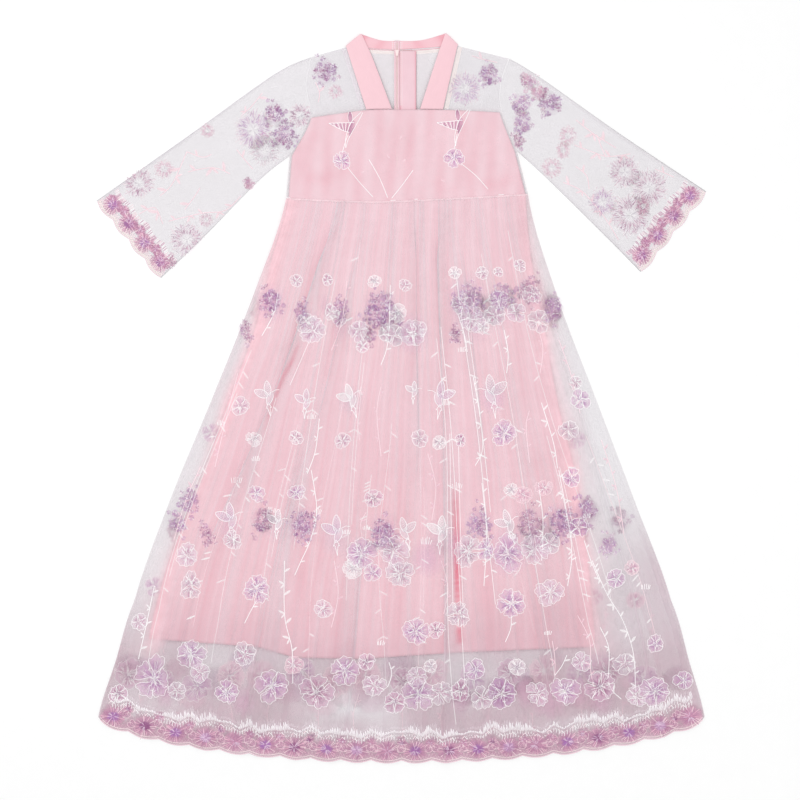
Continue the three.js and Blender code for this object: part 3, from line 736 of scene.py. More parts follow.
class Stitches:
    """Threads and filled petals laid on one cloth, kept as grids of places and made into one mesh."""

    def __init__(self, ground, seed):
        self.ground = ground
        self.dice = np.random.default_rng(seed)
        self.grids = {}
        self.presence = 1.0

    def lay(self, places, rise, colour, cover, uv):
        """Keeps one grid, or a stack of like grids: places (stack, rows, columns, 2)."""
        places = np.asarray(places, float)
        if places.ndim == 3:
            places = places[None]
        stack, rows, columns = places.shape[:3]
        cover = cover * self.presence
        rise = np.broadcast_to(rise, (stack, rows, columns))
        colour = np.broadcast_to(colour, (stack, rows, columns, 3))
        cover = np.broadcast_to(cover, (stack, rows, columns))
        uv = np.broadcast_to(uv, (stack, rows, columns, 2))
        self.grids.setdefault((rows, columns), []).append((places, rise, colour, cover, uv))

    def thread(self, places, colour, width=THREAD, rise=0.35, height=0.3):
        """Threads along places (stack, points, 2): each is a tent, two edges and a crest."""
        places = np.asarray(places, float)
        if places.ndim == 2:
            places = places[None]
        run = np.gradient(places, axis=1)
        run /= np.maximum(np.linalg.norm(run, axis=-1, keepdims=True), 1e-9)
        side = np.stack([run[..., 1], -run[..., 0]], -1)
        across = np.array([-0.5, 0.0, 0.5]) * width
        grid = places[:, :, None, :] + side[:, :, None, :] * across[None, None, :, None]
        steps = np.linalg.norm(np.diff(places, axis=1), axis=-1)
        along = np.concatenate([np.zeros((len(places), 1)), np.cumsum(steps, axis=1)], axis=1)
        uv = together(along[..., None], across / width * STITCH_PITCH)
        self.lay(grid, rise + np.array([0, height, 0]), colour, 1, uv)

    def zigzag(self, places, colour, width=0.9, rise=0.35):
        """A thread that turns sharply at each place, as one stitch from each place to the next."""
        self.thread(np.stack([places[:-1], places[1:]], 1), colour, width, rise)

    def tuft(self, x, y, size=9.0, colour=WHITE, count=6):
        """A little row of upright stitches, the middle ones taller."""
        across = np.linspace(-0.5, 0.5, count) * size + self.dice.uniform(-0.5, 0.5, count)
        tall = size * (0.55 + 0.25 * np.cos(across / size * 3) + self.dice.uniform(-0.12, 0.12, count))
        foot = np.stack([x + across, y + 0 * across], -1)
        tip = foot + np.stack([across * 0.25 + 0.6, tall], -1)
        self.thread(np.stack([foot, tip], 1), colour, 1.1, 0.5)

    def petal(self, root, tip, width, inner, outer, cover=0.45, dome=0.4, steps=(5, 4), blunt=1.5):
        """A filled petal from root to tip: half width = width/2 * sin(pi r^blunt)^0.7 at the share r along,
        crowned by dome, with its stitches running along it."""
        root, tip = np.asarray(root, float), np.asarray(tip, float)
        run = tip - root
        side = np.array([run[1], -run[0]]) / np.linalg.norm(run)
        r = np.linspace(0, 1, steps[0])[:, None]
        a = np.linspace(-1, 1, steps[1])[None, :]
        half = width / 2 * np.sin(np.pi * np.clip(r, 0.1, 0.985) ** blunt) ** 0.7
        places = root + run * r[..., None] + side * (half * a)[..., None]
        rise = 0.25 + dome * (1 - a**2) * np.sin(np.pi * r) + self.dice.uniform(0, 0.12)
        colour = mix(inner, outer, smooth(r, 0.15, 0.9)[..., None] + 0 * a[..., None])
        uv = together(r * np.linalg.norm(run), half * a)
        self.lay(places, rise, colour, cover, uv)

    def petal_outline(self, root, tip, width, colour, blunt=1.5, count=13, thread=0.8, ruffle=0.0):
        """A thread round the same petal, waved in and out by a ruffle of its width."""
        root, tip = np.asarray(root, float), np.asarray(tip, float)
        run = tip - root
        side = np.array([run[1], -run[0]]) / np.linalg.norm(run)
        turn = np.linspace(0, 1, count)
        wave = 1 + ruffle * np.sin(np.pi * turn) * np.sin(13 * np.pi * turn + self.dice.uniform(0, 3))
        r = np.clip(0.5 - 0.5 * np.cos(2 * np.pi * turn), 0.04, 0.985)
        half = width / 2 * np.sin(np.pi * r**blunt) ** 0.7 * np.where(turn < 0.5, -1, 1)
        places = root + run * (r * wave)[:, None] + side * (half * wave)[:, None]
        self.thread(places, colour, thread, 0.4)

    def disc(self, centre, radii, colours, covers, squash=(1, 1), around=14):
        """A soft round fill: rings of the given radii, each with its own colour and cover."""
        angle = np.linspace(0, 2 * np.pi, around)
        circle = heading(angle) * squash
        places = centre + circle[::-1] * np.array(radii)[:, None, None]
        uv = together(np.array(radii)[:, None], 9 * angle / around * 14)
        self.lay(places, 0.25, np.array(colours)[:, None, :], np.array(covers)[:, None], uv)

    def haze(self, x, y, size, shade, squeeze=1.0):
        """A soft patch: one faint disc, fading out."""
        tones = SHADES[shade]
        tone = mix(mix(tones.inner, MAUVE, 0.5), tones.outer, 0.25)
        radii = np.array([0.02, 0.2, 0.4, 0.6]) * size * self.dice.uniform(0.8, 1.15)
        self.disc(np.array([x, y]), radii, np.stack([tone] * 4), [0.55, 0.46, 0.24, 0.0], (squeeze, 1.15),
                  13)

    def rays(self, centre, count, near, far, tones, width=0.9, squash=(1, 1), twist=0.12):
        """A ring of stitches that point outwards, each in one of the tones."""
        angle = np.linspace(0, 2 * np.pi, count, endpoint=False) + self.dice.normal(0, 1.0 / count, count)
        reach = np.stack([near * self.dice.uniform(0.8, 1.2, count),
                          far * self.dice.uniform(0.85, 1.15, count)], 1)
        angle = angle[:, None] + np.stack([0 * angle, self.dice.uniform(-twist, twist, count)], 1)
        places = centre + heading(angle) * reach[..., None] * squash
        colour = np.stack(tones)[self.dice.integers(len(tones), size=count)]
        self.thread(places, colour[:, None, None, :], width, 0.5)

    def wreath(self, x, y, size, turn, shade, squeeze=1.0, cover=0.85):
        """A round flower of rays: a white middle, a ring of deep and white rays and a fluffy pale edge."""
        tones = SHADES[shade]
        centre, squash, radius = np.array([x, y]), np.array([squeeze, 1.0]), 0.58 * size
        self.presence = 0.66 * cover
        rings = np.stack([WHITE, PEARL, tones.inner, tones.outer, BLUSH])
        self.disc(centre, [0.2, 0.3 * radius, 0.55 * radius, 0.85 * radius, 1.05 * radius], rings,
                  [0.7, 0.6, 0.5, 0.4, 0.0], squash)
        count = int(12 + 0.6 * size)
        self.rays(centre, count // 2, 0.05 * radius, 0.3 * radius, [WHITE, GREY, WHITE], 1.0, squash)
        deep = mix(tones.stroke, tones.inner, 0.2)
        for k, near in enumerate((0.36, 0.5, 0.64, 0.78)):
            palette = [deep, WHITE, tones.inner, [deep, ROSE, deep, BLUSH][k]]
            self.rays(centre, count + 3 * k, near * radius, (near + 0.2) * radius, palette, 0.95, squash,
                      0.22)
        self.rays(centre, count, 0.9 * radius, 1.08 * radius, [BLUSH, ROSE, WHITE], 0.9, squash)
        self.presence = 1.0

    def blossom(self, x, y, size, turn, shade, squeeze=1.0, cover=0.85):
        """An open flower: five rounded petals of uneven size with waved white outlines and a few strokes
        each, smaller petals inside a large one, and a pale heart."""
        shade = SHADES[shade]
        centre = np.array([x, y])
        squash = np.array([squeeze, 1.0])
        large, ringed = size >= 30, size >= 26
        size = 1.13 * size
        tiers = [(size / 2, 5, 0.16, 0.6), (size / 3.6, 3, 0.2, 0.5)]
        for radius, petals, start, fill in tiers if large else tiers[:1]:
            bend = self.dice.uniform(0, 6) * (petals == 3)
            for k in range(petals):
                angle = np.radians(turn) + bend + 2 * np.pi * (k + self.dice.uniform(-0.12, 0.12)) / petals
                way = heading(angle)
                side = np.array([way[1], -way[0]])
                grown = self.dice.uniform(0.82, 1.18)
                root = centre + way * radius * start * squash
                tip = centre + way * radius * grown * squash
                width = radius * self.dice.uniform(0.98, 1.16) * mix(1, squeeze, abs(way[1]))
                self.presence = cover * self.dice.uniform(0.75, 1.1)
                self.petal(root, tip, width, mix(shade.inner, MAUVE, 0.25), mix(shade.outer, ROSE, 0.2),
                           fill + 0.18, blunt=1.9)
                count = 8 if large and petals == 5 else 5
                fan = np.linspace(-0.42, 0.42, count)[:, None] + self.dice.uniform(-0.08, 0.08, (count, 1))
                near, far = self.dice.uniform(0.3, 0.5, (count, 1)), self.dice.uniform(0.6, 0.8, (count, 1))
                begin = centre + (way + side * fan * 0.8) * radius * near * squash * grown
                end = centre + (way * (1 - 0.3 * fan**2) + side * fan) * radius * far * squash * grown
                tone = np.stack([mix(shade.stroke, PLUM, 0.35), WHITE,
                                 mix(shade.stroke, ROSE, 0.3)])[self.dice.integers(3, size=count)]
                self.thread(np.stack([begin, end], 1), tone[:, None, None, :], 0.9, 0.6)
                self.presence = min(1.0, cover * 1.25)
                self.petal_outline(root, tip, width, shade.line, 1.9, 25 if large else 15, 0.95, 0.1)
                if ringed and petals == 5:
                    self.petal_outline(mix(root, tip, 0.3), mix(root, tip, 0.84), width * 0.55, shade.inner,
                                       1.6, 13, 0.9, 0.2)
        self.presence = cover
        self.disc(centre, [0.1, size * 0.1, size * 0.17], np.stack([WHITE, shade.heart, shade.inner]),
                  [0.9, 0.8, 0.1], squash, 9)
        self.rays(centre, 11, size * 0.04, size * 0.2, [mix(shade.stroke, PLUM, 0.5), WHITE, shade.stroke],
                  1.0, squash)
        self.presence = 1.0

    def cluster(self, x, y, width, length, turn, shade, count=14, cover=0.8):
        """A loose bunch of little flowers on a sunflower spiral with a lobed rim: each is one soft fill with
        a fan of short strokes in mixed tones, over a faint disc."""
        tones = SHADES[shade]
        self.presence = cover
        count = int(count * 2.1)
        order = np.arange(count) + 0.5
        angle = order * GOLDEN_ANGLE + self.dice.uniform(0, 6)
        start = self.dice.uniform(0, 6, 2)
        lobes = 1 + 0.26 * np.sin(3 * angle + start[0]) + 0.14 * np.sin(5 * angle + start[1])
        reach = np.sqrt(order / count) * lobes * 1.1
        spot = np.stack([width / 2 * reach * np.cos(angle), 1.2 * length / 2 * reach * np.sin(angle)], -1)
        lean = np.radians(turn)
        spin = np.array([[np.cos(lean), np.sin(lean)], [-np.sin(lean), np.cos(lean)]])
        spot = np.array([x, y - 2]) + spot @ spin + self.dice.normal(0, 0.9, spot.shape)
        self.disc(np.array([x, y - 2]), np.array([0.05, 0.25, 0.45, 0.62]) * (width + length) / 2,
                  np.stack([mix(tones.inner, MAUVE, 0.4)] * 4), [0.42, 0.36, 0.2, 0.0], (0.92, 1.1))
        for k, centre in enumerate(spot):
            radius = self.dice.uniform(2.8, 5.2) * (1.15 - 0.3 * np.sqrt(order[k] / count))
            start = self.dice.uniform(0, 6)
            tone = mix(tones.inner, [PURPLE, MAUVE, LAVENDER, PLUM, LILAC][self.dice.integers(5)],
                       self.dice.uniform(0.1, 0.9))
            way = heading(start) * radius
            self.petal(centre - way, centre + way, radius * 2, tone, mix(tone, PEARL, 0.45), 0.5, 0.3,
                       (4, 3), 1.0)
            a = start + np.arange(6) * np.pi / 3 + self.dice.uniform(-0.3, 0.3, 6)
            out = heading(a) * radius
            strokes = np.stack([centre + out * 0.35, centre + out * self.dice.uniform(0.8, 1.2, (6, 1))], 1)
            fan = np.stack([tones.stroke, tone, WHITE, BLUSH])[self.dice.choice(4, 6,
                                                                                p=[0.42, 0.24, 0.22, 0.12])]
            self.thread(strokes, fan[:, None, None, :], 0.85, 0.65)
        self.presence = 1.0

    def leaf(self, root, tip, width, shade):
        """A filled leaf with a midrib."""
        tones = SHADES[shade]
        self.petal(root, tip, width, tones.inner, tones.outer, 0.8, 0.35, (6, 3), 1.0)
        self.thread(np.stack([root, mix(np.asarray(root, float), np.asarray(tip, float), 0.9)]), tones.line,
                    0.8, 0.7)

    def vine(self, places, shade="white", leaf=9.0, spacing=22.0, thread=1.4, cover=0.95):
        """A stem through the places, with leaves on alternate sides and a smaller leaf beside every other one.
        """
        count = 24
        line = through(*places)
        shares_along = np.linspace(0, 1, count)
        stem = line(shares_along)
        sway = np.gradient(stem, axis=0)
        length = np.linalg.norm(sway, axis=1).sum()
        tones = SHADES[shade]
        self.presence = cover
        self.thread(stem, tones.line, thread, 0.35)
        for k in range(int(length / spacing)):
            at = (k + 0.6 + self.dice.uniform(-0.2, 0.2)) * spacing / length
            if at > 0.97:
                continue
            here, ahead = line(np.array([at, min(1, at + 0.02)]))
            way = (ahead - here) / max(np.linalg.norm(ahead - here), 1e-6)
            hand = 1 if k % 2 else -1
            side = np.array([way[1], -way[0]]) * hand
            reach = leaf * self.dice.uniform(0.75, 1.15)
            tip = here + (way * -0.55 + side * 0.8) * reach
            self.leaf(here, tip, reach * 0.34, shade)
            if k % 2:
                self.leaf(here, here + (way * 0.75 + side * 0.65) * reach * 0.8, reach * 0.26, shade)
        self.presence = 1.0

    def hatched(self, corners, count, tone, fill):
        """A wing with corners root, tip, trailing edge and underside: white edges, and stitches across in
        two tones."""
        root, tip, trail, under = corners
        share = np.linspace(0.08, 0.9, count)[:, None]
        upper = mix(root, tip, share)
        lower = np.where(share < 0.6, mix(under, trail, share / 0.6), mix(trail, tip, (share - 0.6) / 0.4))
        stitch = np.stack([tone, WHITE])[np.arange(count) % 2]
        self.thread(np.stack([upper, lower], 1), stitch[:, None, None, :], 1.0, 0.5)
        self.thread(drawn([root, tip], 4), WHITE, 1.2, 0.6)
        self.thread(drawn([tip, trail, under], 8), WHITE, 1.2, 0.6)
        cloth_fill = np.stack([np.stack([root, mix(root, tip, 0.5), tip]), np.stack([under, trail, tip])],
                              1)
        self.lay(cloth_fill, 0.3, fill, 0.35, np.zeros((3, 2, 2)))

    def bird(self, x, y, size, turn, shade, flip=1, swept=False):
        """A small bird. With its wing swept it has one long wing to the side and a narrow body and tail;
        otherwise it has two raised leaf-shaped wings, a round body and a forked tail."""
        tones = SHADES[shade]
        lean = np.radians(turn)
        along = heading(lean) * size * flip
        up = np.array([-np.sin(lean), np.cos(lean)]) * size

        def spot(right, above):
            return np.array([x, y]) + along * right + up * above

        deep = mix(tones.stroke, MAUVE, 0.4)
        if swept:
            self.hatched([spot(0.16, 0.14), spot(-0.66, 0.0), spot(-0.2, -0.16), spot(0.04, -0.2)], 11,
                         deep, tones.inner)
            self.petal(spot(0.04, 0.1), spot(-0.04, 0.5), 0.16 * size, tones.inner, tones.stroke, 0.8, 0.4,
                       (6, 4), 0.9)
            self.petal_outline(spot(0.04, 0.1), spot(-0.04, 0.5), 0.16 * size, WHITE, 0.9, 11, 0.8)
            self.petal(spot(0.14, 0.2), spot(0.06, -0.3), 0.16 * size, tones.inner, tones.stroke, 0.7, 0.5,
                       (6, 4), 0.9)
        else:
            for tip, width in [((-0.44, 0.34), 0.3), ((0.08, 0.62), 0.26)]:
                root, end = spot(0.05, 0.02), spot(*tip)
                self.petal(root, end, width * size, tones.inner, tones.outer, 0.45, 0.4, (6, 4), 0.9)
                self.petal_outline(root, end, width * size, WHITE, 0.9, 15, 1.2)
                run = end - root
                side = np.array([run[1], -run[0]])
                share = np.linspace(0.2, 0.85, 6)[:, None]
                half = 0.45 * width * np.sin(np.pi * share**0.9) ** 0.7 / np.hypot(*tip)
                start = root + run * (share - 0.1)
                for hand in (-1, 1):
                    finish = root + run * (share + 0.06) + side * half * hand
                    self.thread(np.stack([start, finish], 1), mix(WHITE, deep, 0.3), 0.8, 0.65)
            self.petal(spot(0.2, 0.16), spot(-0.04, -0.3), 0.24 * size, PEARL, tones.outer, 0.55, 0.6,
                       (6, 4), 0.8)
            self.petal_outline(spot(0.2, 0.16), spot(-0.04, -0.3), 0.24 * size, WHITE, 0.8, 13, 1.0)
            self.thread(np.stack([spot(0.2, 0.16), spot(0.36, 0.22), spot(0.5, 0.2)]), WHITE, 1.0, 0.5)
        for bend in (0.1, -0.1):
            top = spot(0.36 + bend * 0.3, 0.5) if swept else spot(0.0, -0.2)
            line = [top, spot(0.16 + bend, 0.14) if swept else spot(bend, -0.4), spot(bend * 0.5, -0.4),
                    spot(0, -0.72)]
            self.thread(drawn(line, 12), WHITE, 1.1, 0.6)

    def burst(self, x, y, radius, tone, squeeze=0.8, strokes=26):
        """A soft round heart of a deep tone, fading out, under a fan of fine rays."""
        centre, squash = np.array([x, y]), np.array([1, squeeze])
        rings = np.stack([mix(tone, PLUM, 0.3), mix(tone, MAUVE, 0.1), mix(MAUVE, PLUM, 0.35),
                          mix(ROSE, MAUVE, 0.4)])
        self.disc(centre, [0.2, 0.32 * radius, 0.62 * radius, 1.0 * radius], rings, [1.0, 0.95, 0.85, 0.4],
                  squash)
        self.rays(centre, strokes, 0.1 * radius, 0.5 * radius, [tone, mix(tone, PLUM, 0.5), LILAC], 1.1,
                  squash)
        self.rays(centre, strokes + 6, 0.45 * radius, 1.0 * radius,
                  [ROSE, MAUVE, mix(MAUVE, PLUM, 0.6), mix(MAUVE, PLUM, 0.3), BLUSH], 1.0, squash)

    def piece(self, name, material, slot):
        """All the grids as one mesh. A grid that a mirrored motif has turned over is turned back."""
        points, faces, uvs, covers, colours = [], [], [], [], []
        count = 0
        for (rows, columns), kept in self.grids.items():
            places, rise, colour, cover, uv = (np.concatenate(parts) for parts in zip(*kept))
            across = places[:, :, -1] - places[:, :, 0]
            down = np.gradient(places, axis=1).mean(2)
            turned = (across[..., 0] * down[..., 1] - across[..., 1] * down[..., 0]).sum(1) < 0
            arrays = [places, rise, colour, cover, uv]
            for k, values in enumerate(arrays):
                values = values.copy()
                values[turned] = values[turned][:, :, ::-1]
                arrays[k] = values
            cloth_below = self.ground.under(arrays[0])
            whole = cloth_below.mean((1, 2)) > 0.6
            places, rise, colour, cover, uv = (values[whole] for values in arrays)
            cover = cover * cloth_below[whole]
            if not len(places):
                continue
            z = self.ground.at(places) + rise
            stack = len(places)
            points.append(np.concatenate([places, z[..., None]], -1).reshape(-1, 3))
            start = count + np.arange(stack)[:, None, None] * rows * columns
            faces.append((quads(rows, columns)[None] + start).reshape(-1, 4))
            uvs.append(uv.reshape(-1, 2))
            covers.append(cover.ravel())
            colours.append(colour.reshape(-1, 3))
            count += stack * rows * columns
        piece = new_piece(
            name,
            np.concatenate(points),
            np.concatenate(faces),
            material,
            np.concatenate(uvs) / 1000,
            {"cover": np.concatenate(covers)},
            {"thread_colour": np.concatenate(colours)},
        )
        return piece


# ---- Where the motifs lie ----
# Lighter and pinker patches of the net above the hem: x, y, half width and change.
HEM_PATCHES = [(-82, -450, 26, -1.1), (-40, -458, 26, -0.5), (-330, -448, 26, -0.35), (30, -430, 30, -0.3),
               (217, -445, 44, 1.3), (300, -440, 40, 0.8), (-200, -440, 36, 0.2), (380, -430, 30, -0.4)]

# Places are in millimetres and turns in degrees. length is the second size of a cluster, and for a blossom
# squeeze is its width beside its height where a gather has narrowed it.
Blossom = namedtuple("Blossom", "x y size turn shade squeeze cover", defaults=[1.0, 0.75])
Cluster = namedtuple("Cluster", "x y width length turn shade count cover", defaults=[14, 0.8])
Bird = namedtuple("Bird", "x y size turn shade flip swept", defaults=[1, False])
Vine = namedtuple("Vine", "shade leaf places")

SKIRT_BLOSSOMS = [Blossom(*row) for row in [
    # first band, below the waist
    (-142, 116, 26, 20, "grey"), (-92, 122, 24, 50, "pale", 0.7), (-12, 98, 28, 10, "grey"),
    (26, 106, 24, 35, "pale"), (92, 142, 26, 15, "grey"), (112, 118, 26, 60, "pale"),
    (146, 150, 24, 30, "lavender"), (206, 118, 28, 5, "grey"), (196, 158, 24, 45, "pale"),
    (-157, 178, 16, 10, "grey"), (-110, 180, 15, 40, "grey"), (-40, 178, 17, 5, "white"),
    (6, 172, 16, 60, "grey"), (80, 190, 16, 20, "white"), (121, 191, 17, 0, "grey"),
    (145, 192, 14, 30, "grey"), (178, 202, 17, 15, "grey"), (-5, 131, 24, 0, "white"),
    (-132, 104, 34, 12, "pale"), (-105, 132, 22, 30, "grey", 0.7), (-63, 104, 30, 50, "pale", 0.8),
    (17, 99, 36, 25, "pale"), (106, 122, 32, 5, "pale"), (140, 126, 30, 40, "grey"),
    (172, 132, 26, 20, "pale"), (-22, 99, 26, 15, "grey", 0.8), (-58, 80, 18, 0, "pale"),
    (123, 109, 17, 33, "white"),
    # second band
    (-220, -58, 20, 10, "white"), (-157, -57, 18, 40, "grey"), (-87, -61, 20, 20, "grey"),
    (28, -58, 22, 0, "grey"), (57, -63, 20, 30, "white"), (89, -60, 20, 10, "plum", 0.55),
    (154, -50, 33, 15, "lavender"), (250, -45, 26, 50, "grey"), (-240, -10, 24, 20, "pale"),
    (268, 0, 26, 40, "lavender"), (262, 26, 18, 5, "grey"),
    # third band
    (-216, -140, 22, 10, "lavender"), (-156, -139, 22, 45, "lavender"), (-41, -147, 24, 25, "plum"),
    (182, -141, 24, 15, "rose"), (164, -134, 18, 50, "white"), (214, -131, 22, 30, "rose"),
    (255, -117, 26, 0, "lavender"), (-251, -210, 24, 30, "grey"), (-60, -229, 40, 10, "lavender"),
    (-72, -252, 26, 40, "white"), (-42, -258, 24, 5, "lavender"), (-2, -259, 34, 22, "grey"),
    (100, -226, 42, 35, "grey", 0.8), (-12, -226, 40, 5, "pale"), (128, -224, 30, 5, "lavender", 0.7),
    (160, -230, 46, 10, "lavender"), (199, -222, 36, 55, "pale"), (222, -214, 26, 20, "grey"),
    (264, -190, 26, 40, "purple"), (-320, -232, 30, 12, "pale"),
    # single flowers
    (-314, -277, 36, 20, "grey", 0.7), (-216, -282, 36, 5, "lavender"), (-116, -312, 24, 40, "pale"),
    (22, -346, 36, 12, "lavender"), (53, -343, 22, 30, "plum"), (86, -320, 38, 15, "grey", 0.72),
    (165, -305, 36, 50, "lavender"), (224, -287, 36, 20, "pale"), (322, -268, 26, 10, "lavender"),
    (347, -252, 20, 40, "rose"),
    # below the lining
    (-314, -380, 37, 10, "lavender"), (-234, -381, 30, 35, "grey"), (-84, -405, 37, 15, "lavender"),
    (24, -414, 28, 50, "pale"), (44, -398, 18, 0, "white"), (174, -400, 24, 20, "white"),
    (334, -394, 28, 45, "grey"), (382, -365, 22, 15, "lavender"), (424, -420, 26, 30, "lavender"),
    (-370, -418, 58, 10, "lavender", 0.72), (-193, -427, 42, 30, "lavender"), (-126, -438, 42, 5, "plum"),
    (26, -441, 40, 22, "lavender"), (58, -438, 30, 48, "grey"), (89, -436, 30, 12, "plum", 0.8),
    (151, -440, 40, 33, "purple"), (246, -435, 38, 10, "lavender"), (298, -429, 38, 55, "plum"),
    (381, -436, 42, 20, "lavender"), (-300, -408, 26, 40, "pale"), (-40, -427, 30, 15, "pale"),
    (-392, -332, 22, 0, "pale"), (-262, -438, 30, 25, "lavender"), (205, -440, 30, 0, "pale"),
    (-424, -440, 26, 0, "plum"), (-336, -436, 26, 20, "grey"), (-160, -396, 26, 0, "rose"),
    (-52, -392, 24, 40, "plum"), (112, -404, 28, 15, "lavender"), (270, -392, 26, 25, "pale"),
    (352, -444, 26, 25, "pale"), (-10, -452, 28, 15, "plum"), (121, -446, 28, 30, "grey"),
]]
# large soft petals under the bands: place, size, shade and squeeze
SKIRT_HAZES = [
    (17, 100, 50, "lavender", 1), (-8, 104, 46, "grey", 1), (-60, -232, 54, "lavender", 1),
    (-4, -246, 54, "grey", 1), (40, -236, 44, "lavender", 1), (86, -222, 44, "plum", 0.9),
    (160, -226, 60, "lavender", 1), (210, -216, 44, "lavender", 1), (-98, -206, 40, "grey", 1),
    (60, -204, 40, "grey", 1), (138, 4, 44, "lavender", 1), (-76, -2, 36, "grey", 1),
    (221, -447, 46, "plum", 1), (186, -438, 36, "plum", 0.8), (262, -436, 40, "plum", 1),
    (300, -452, 36, "plum", 1),
    (-236, -452, 36, "plum", 1), (-150, -430, 34, "grey", 0.8), (-352, -440, 34, "plum", 0.8),
    (90, -452, 34, "plum", 1),
]
# the same, fainter, under the bunches
FAINT_HAZES = [
    (-195, 144, 44, "purple", 1), (-132, 112, 42, "lavender", 0.8), (-90, 110, 36, "plum", 0.7),
    (-63, 106, 40, "lavender", 0.8), (-30, 134, 60, "purple", 1), (106, 120, 56, "lavender", 1),
    (100, 152, 56, "purple", 1), (150, 140, 56, "lavender", 1), (192, 152, 50, "plum", 1),
    (-114, 142, 30, "plum", 0.6), (224, 138, 36, "purple", 0.8), (-147, -188, 48, "purple", 1),
    (-27, -198, 50, "purple", 1), (117, -186, 50, "purple", 1), (193, -186, 50, "plum", 1),
    (240, -184, 54, "purple", 1), (277, -168, 40, "purple", 1), (-188, -192, 40, "grey", 1),
    (-208, -182, 36, "plum", 1), (-256, -192, 40, "lavender", 1),
]
SKIRT_CLUSTERS = [Cluster(*row) for row in [
    (-195, 149, 30, 36, 20, "purple"), (-148, 133, 14, 34, 0, "purple", 9),
    (-90, 137, 16, 34, 5, "purple", 10), (-30, 136, 48, 44, 0, "purple", 24),
    (100, 152, 46, 36, 0, "lavender", 18), (152, 156, 34, 30, 10, "lavender", 12),
    (192, 166, 32, 36, 0, "plum"), (229, 140, 22, 40, -20, "lavender", 12),
    (-232, 106, 14, 34, 15, "plum", 9), (-45, 98, 16, 22, 0, "plum", 6), (81, 101, 16, 22, 0, "plum", 6),
    (-208, -177, 22, 40, -20, "plum", 12), (-147, -186, 36, 38, 0, "purple", 16),
    (-27, -198, 36, 38, 0, "purple", 16), (117, -182, 34, 36, 0, "lavender", 14),
    (193, -182, 34, 36, 0, "plum", 14), (240, -181, 36, 40, 0, "purple", 16),
    (277, -162, 24, 36, 20, "purple", 10), (-334, -180, 22, 34, 20, "lavender", 10),
    (-316, -150, 30, 34, 0, "purple", 12), (-290, -200, 20, 30, 30, "plum", 8),
    (310, -215, 26, 30, 0, "lavender", 10),
]]
SKIRT_BIRDS = [Bird(*row) for row in [
    (-200, 4, 40, 10, "grey"), (-144, -4, 34, 0, "plum"), (-76, 0, 40, 20, "white"),
    (18, 12, 26, 0, "grey"), (60, 2, 44, -10, "lavender", -1), (138, 8, 50, 5, "grey", -1),
    (-256, -180, 44, 10, "lavender"), (-186, -184, 34, 0, "grey"), (-98, -200, 46, 5, "lavender"),
    (8, -198, 38, 10, "grey", -1), (58, -200, 44, 0, "white"), (160, -188, 40, 20, "grey"),
]]
SKIRT_VINES = [Vine(*row) for row in [
    ("white", 9, [(-184, 161), (-190, 130), (-208, 96)]),
    ("rose", 8, [(-81, 178), (-88, 120), (-104, 74)]), ("white", 9, [(-16, 172), (-19, 90), (-30, 52)]),
    ("white", 8, [(82, 137), (94, 100), (99, 72)]), ("rose", 8, [(112, 164), (106, 120), (105, 88)]),
    ("white", 8, [(154, 105), (160, 70), (158, 40)]), ("rose", 8, [(200, 120), (212, 80), (208, 40)]),
    ("white", 9, [(108, 34), (117, -18), (122, -72), (111, -98)]),
    ("white", 10, [(210, -4), (228, -64), (234, -102)]), ("rose", 8, [(192, -16), (187, -40), (192, -94)]),
    ("rose", 8, [(-30, 20), (-36, -20), (-30, -84)]),
    ("white", 8, [(-122, -28), (-128, -76), (-140, -110)]),
    ("white", 9, [(-134, -105), (-126, -165), (-135, -208), (-150, -242), (-159, -262)]),
    ("white", 8, [(121, -124), (128, -200), (124, -278)]),
    ("white", 9, [(205, -124), (212, -180), (210, -240)]),
    ("white", 10, [(236, -105), (255, -219), (249, -278)]),
    ("white", 9, [(274, -210), (284, -240), (298, -273)]),
    ("rose", 8, [(-52, -168), (-60, -184), (-58, -205)]),
    ("white", 9, [(-216, -300), (-226, -318), (-234, -334)]),
    ("white", 9, [(165, -322), (164, -342), (156, -362)]),
    ("white", 10, [(-369, -278), (-382, -340), (-393, -388)]),
    ("white", 11, [(-174, -240), (-174, -322), (-163, -373), (-162, -424)]),
    ("white", 11, [(286, -240), (308, -290), (332, -330), (348, -381), (351, -441)]),
    ("white", 10, [(298, -340), (311, -372), (312, -426), (330, -448)]),
    ("rose", 10, [(264, -322), (282, -360), (284, -406), (292, -441)]),
    ("rose", 9, [(226, -360), (230, -386), (230, -412)]),
    ("white", 9, [(248, -381), (240, -398), (230, -412)]),
    ("white", 9, [(-18, -392), (-14, -410), (-20, -430)]),
    ("rose", 9, [(-244, 40), (-262, -30), (-278, -100)]), ("rose", 9, [(236, 90), (254, 40), (268, -20)]),
    ("rose", 9, [(300, -60), (322, -130), (334, -200)]),
    ("rose", 9, [(-300, -100), (-322, -150), (-340, -210)]),
    ("rose", 9, [(-60, 20), (-66, -20), (-62, -60)]), ("rose", 9, [(40, -80), (52, -130), (46, -180)]),
    ("rose", 9, [(-100, -240), (-94, -290), (-104, -340)]),
    ("rose", 9, [(60, -240), (70, -280), (64, -320)]),
]]
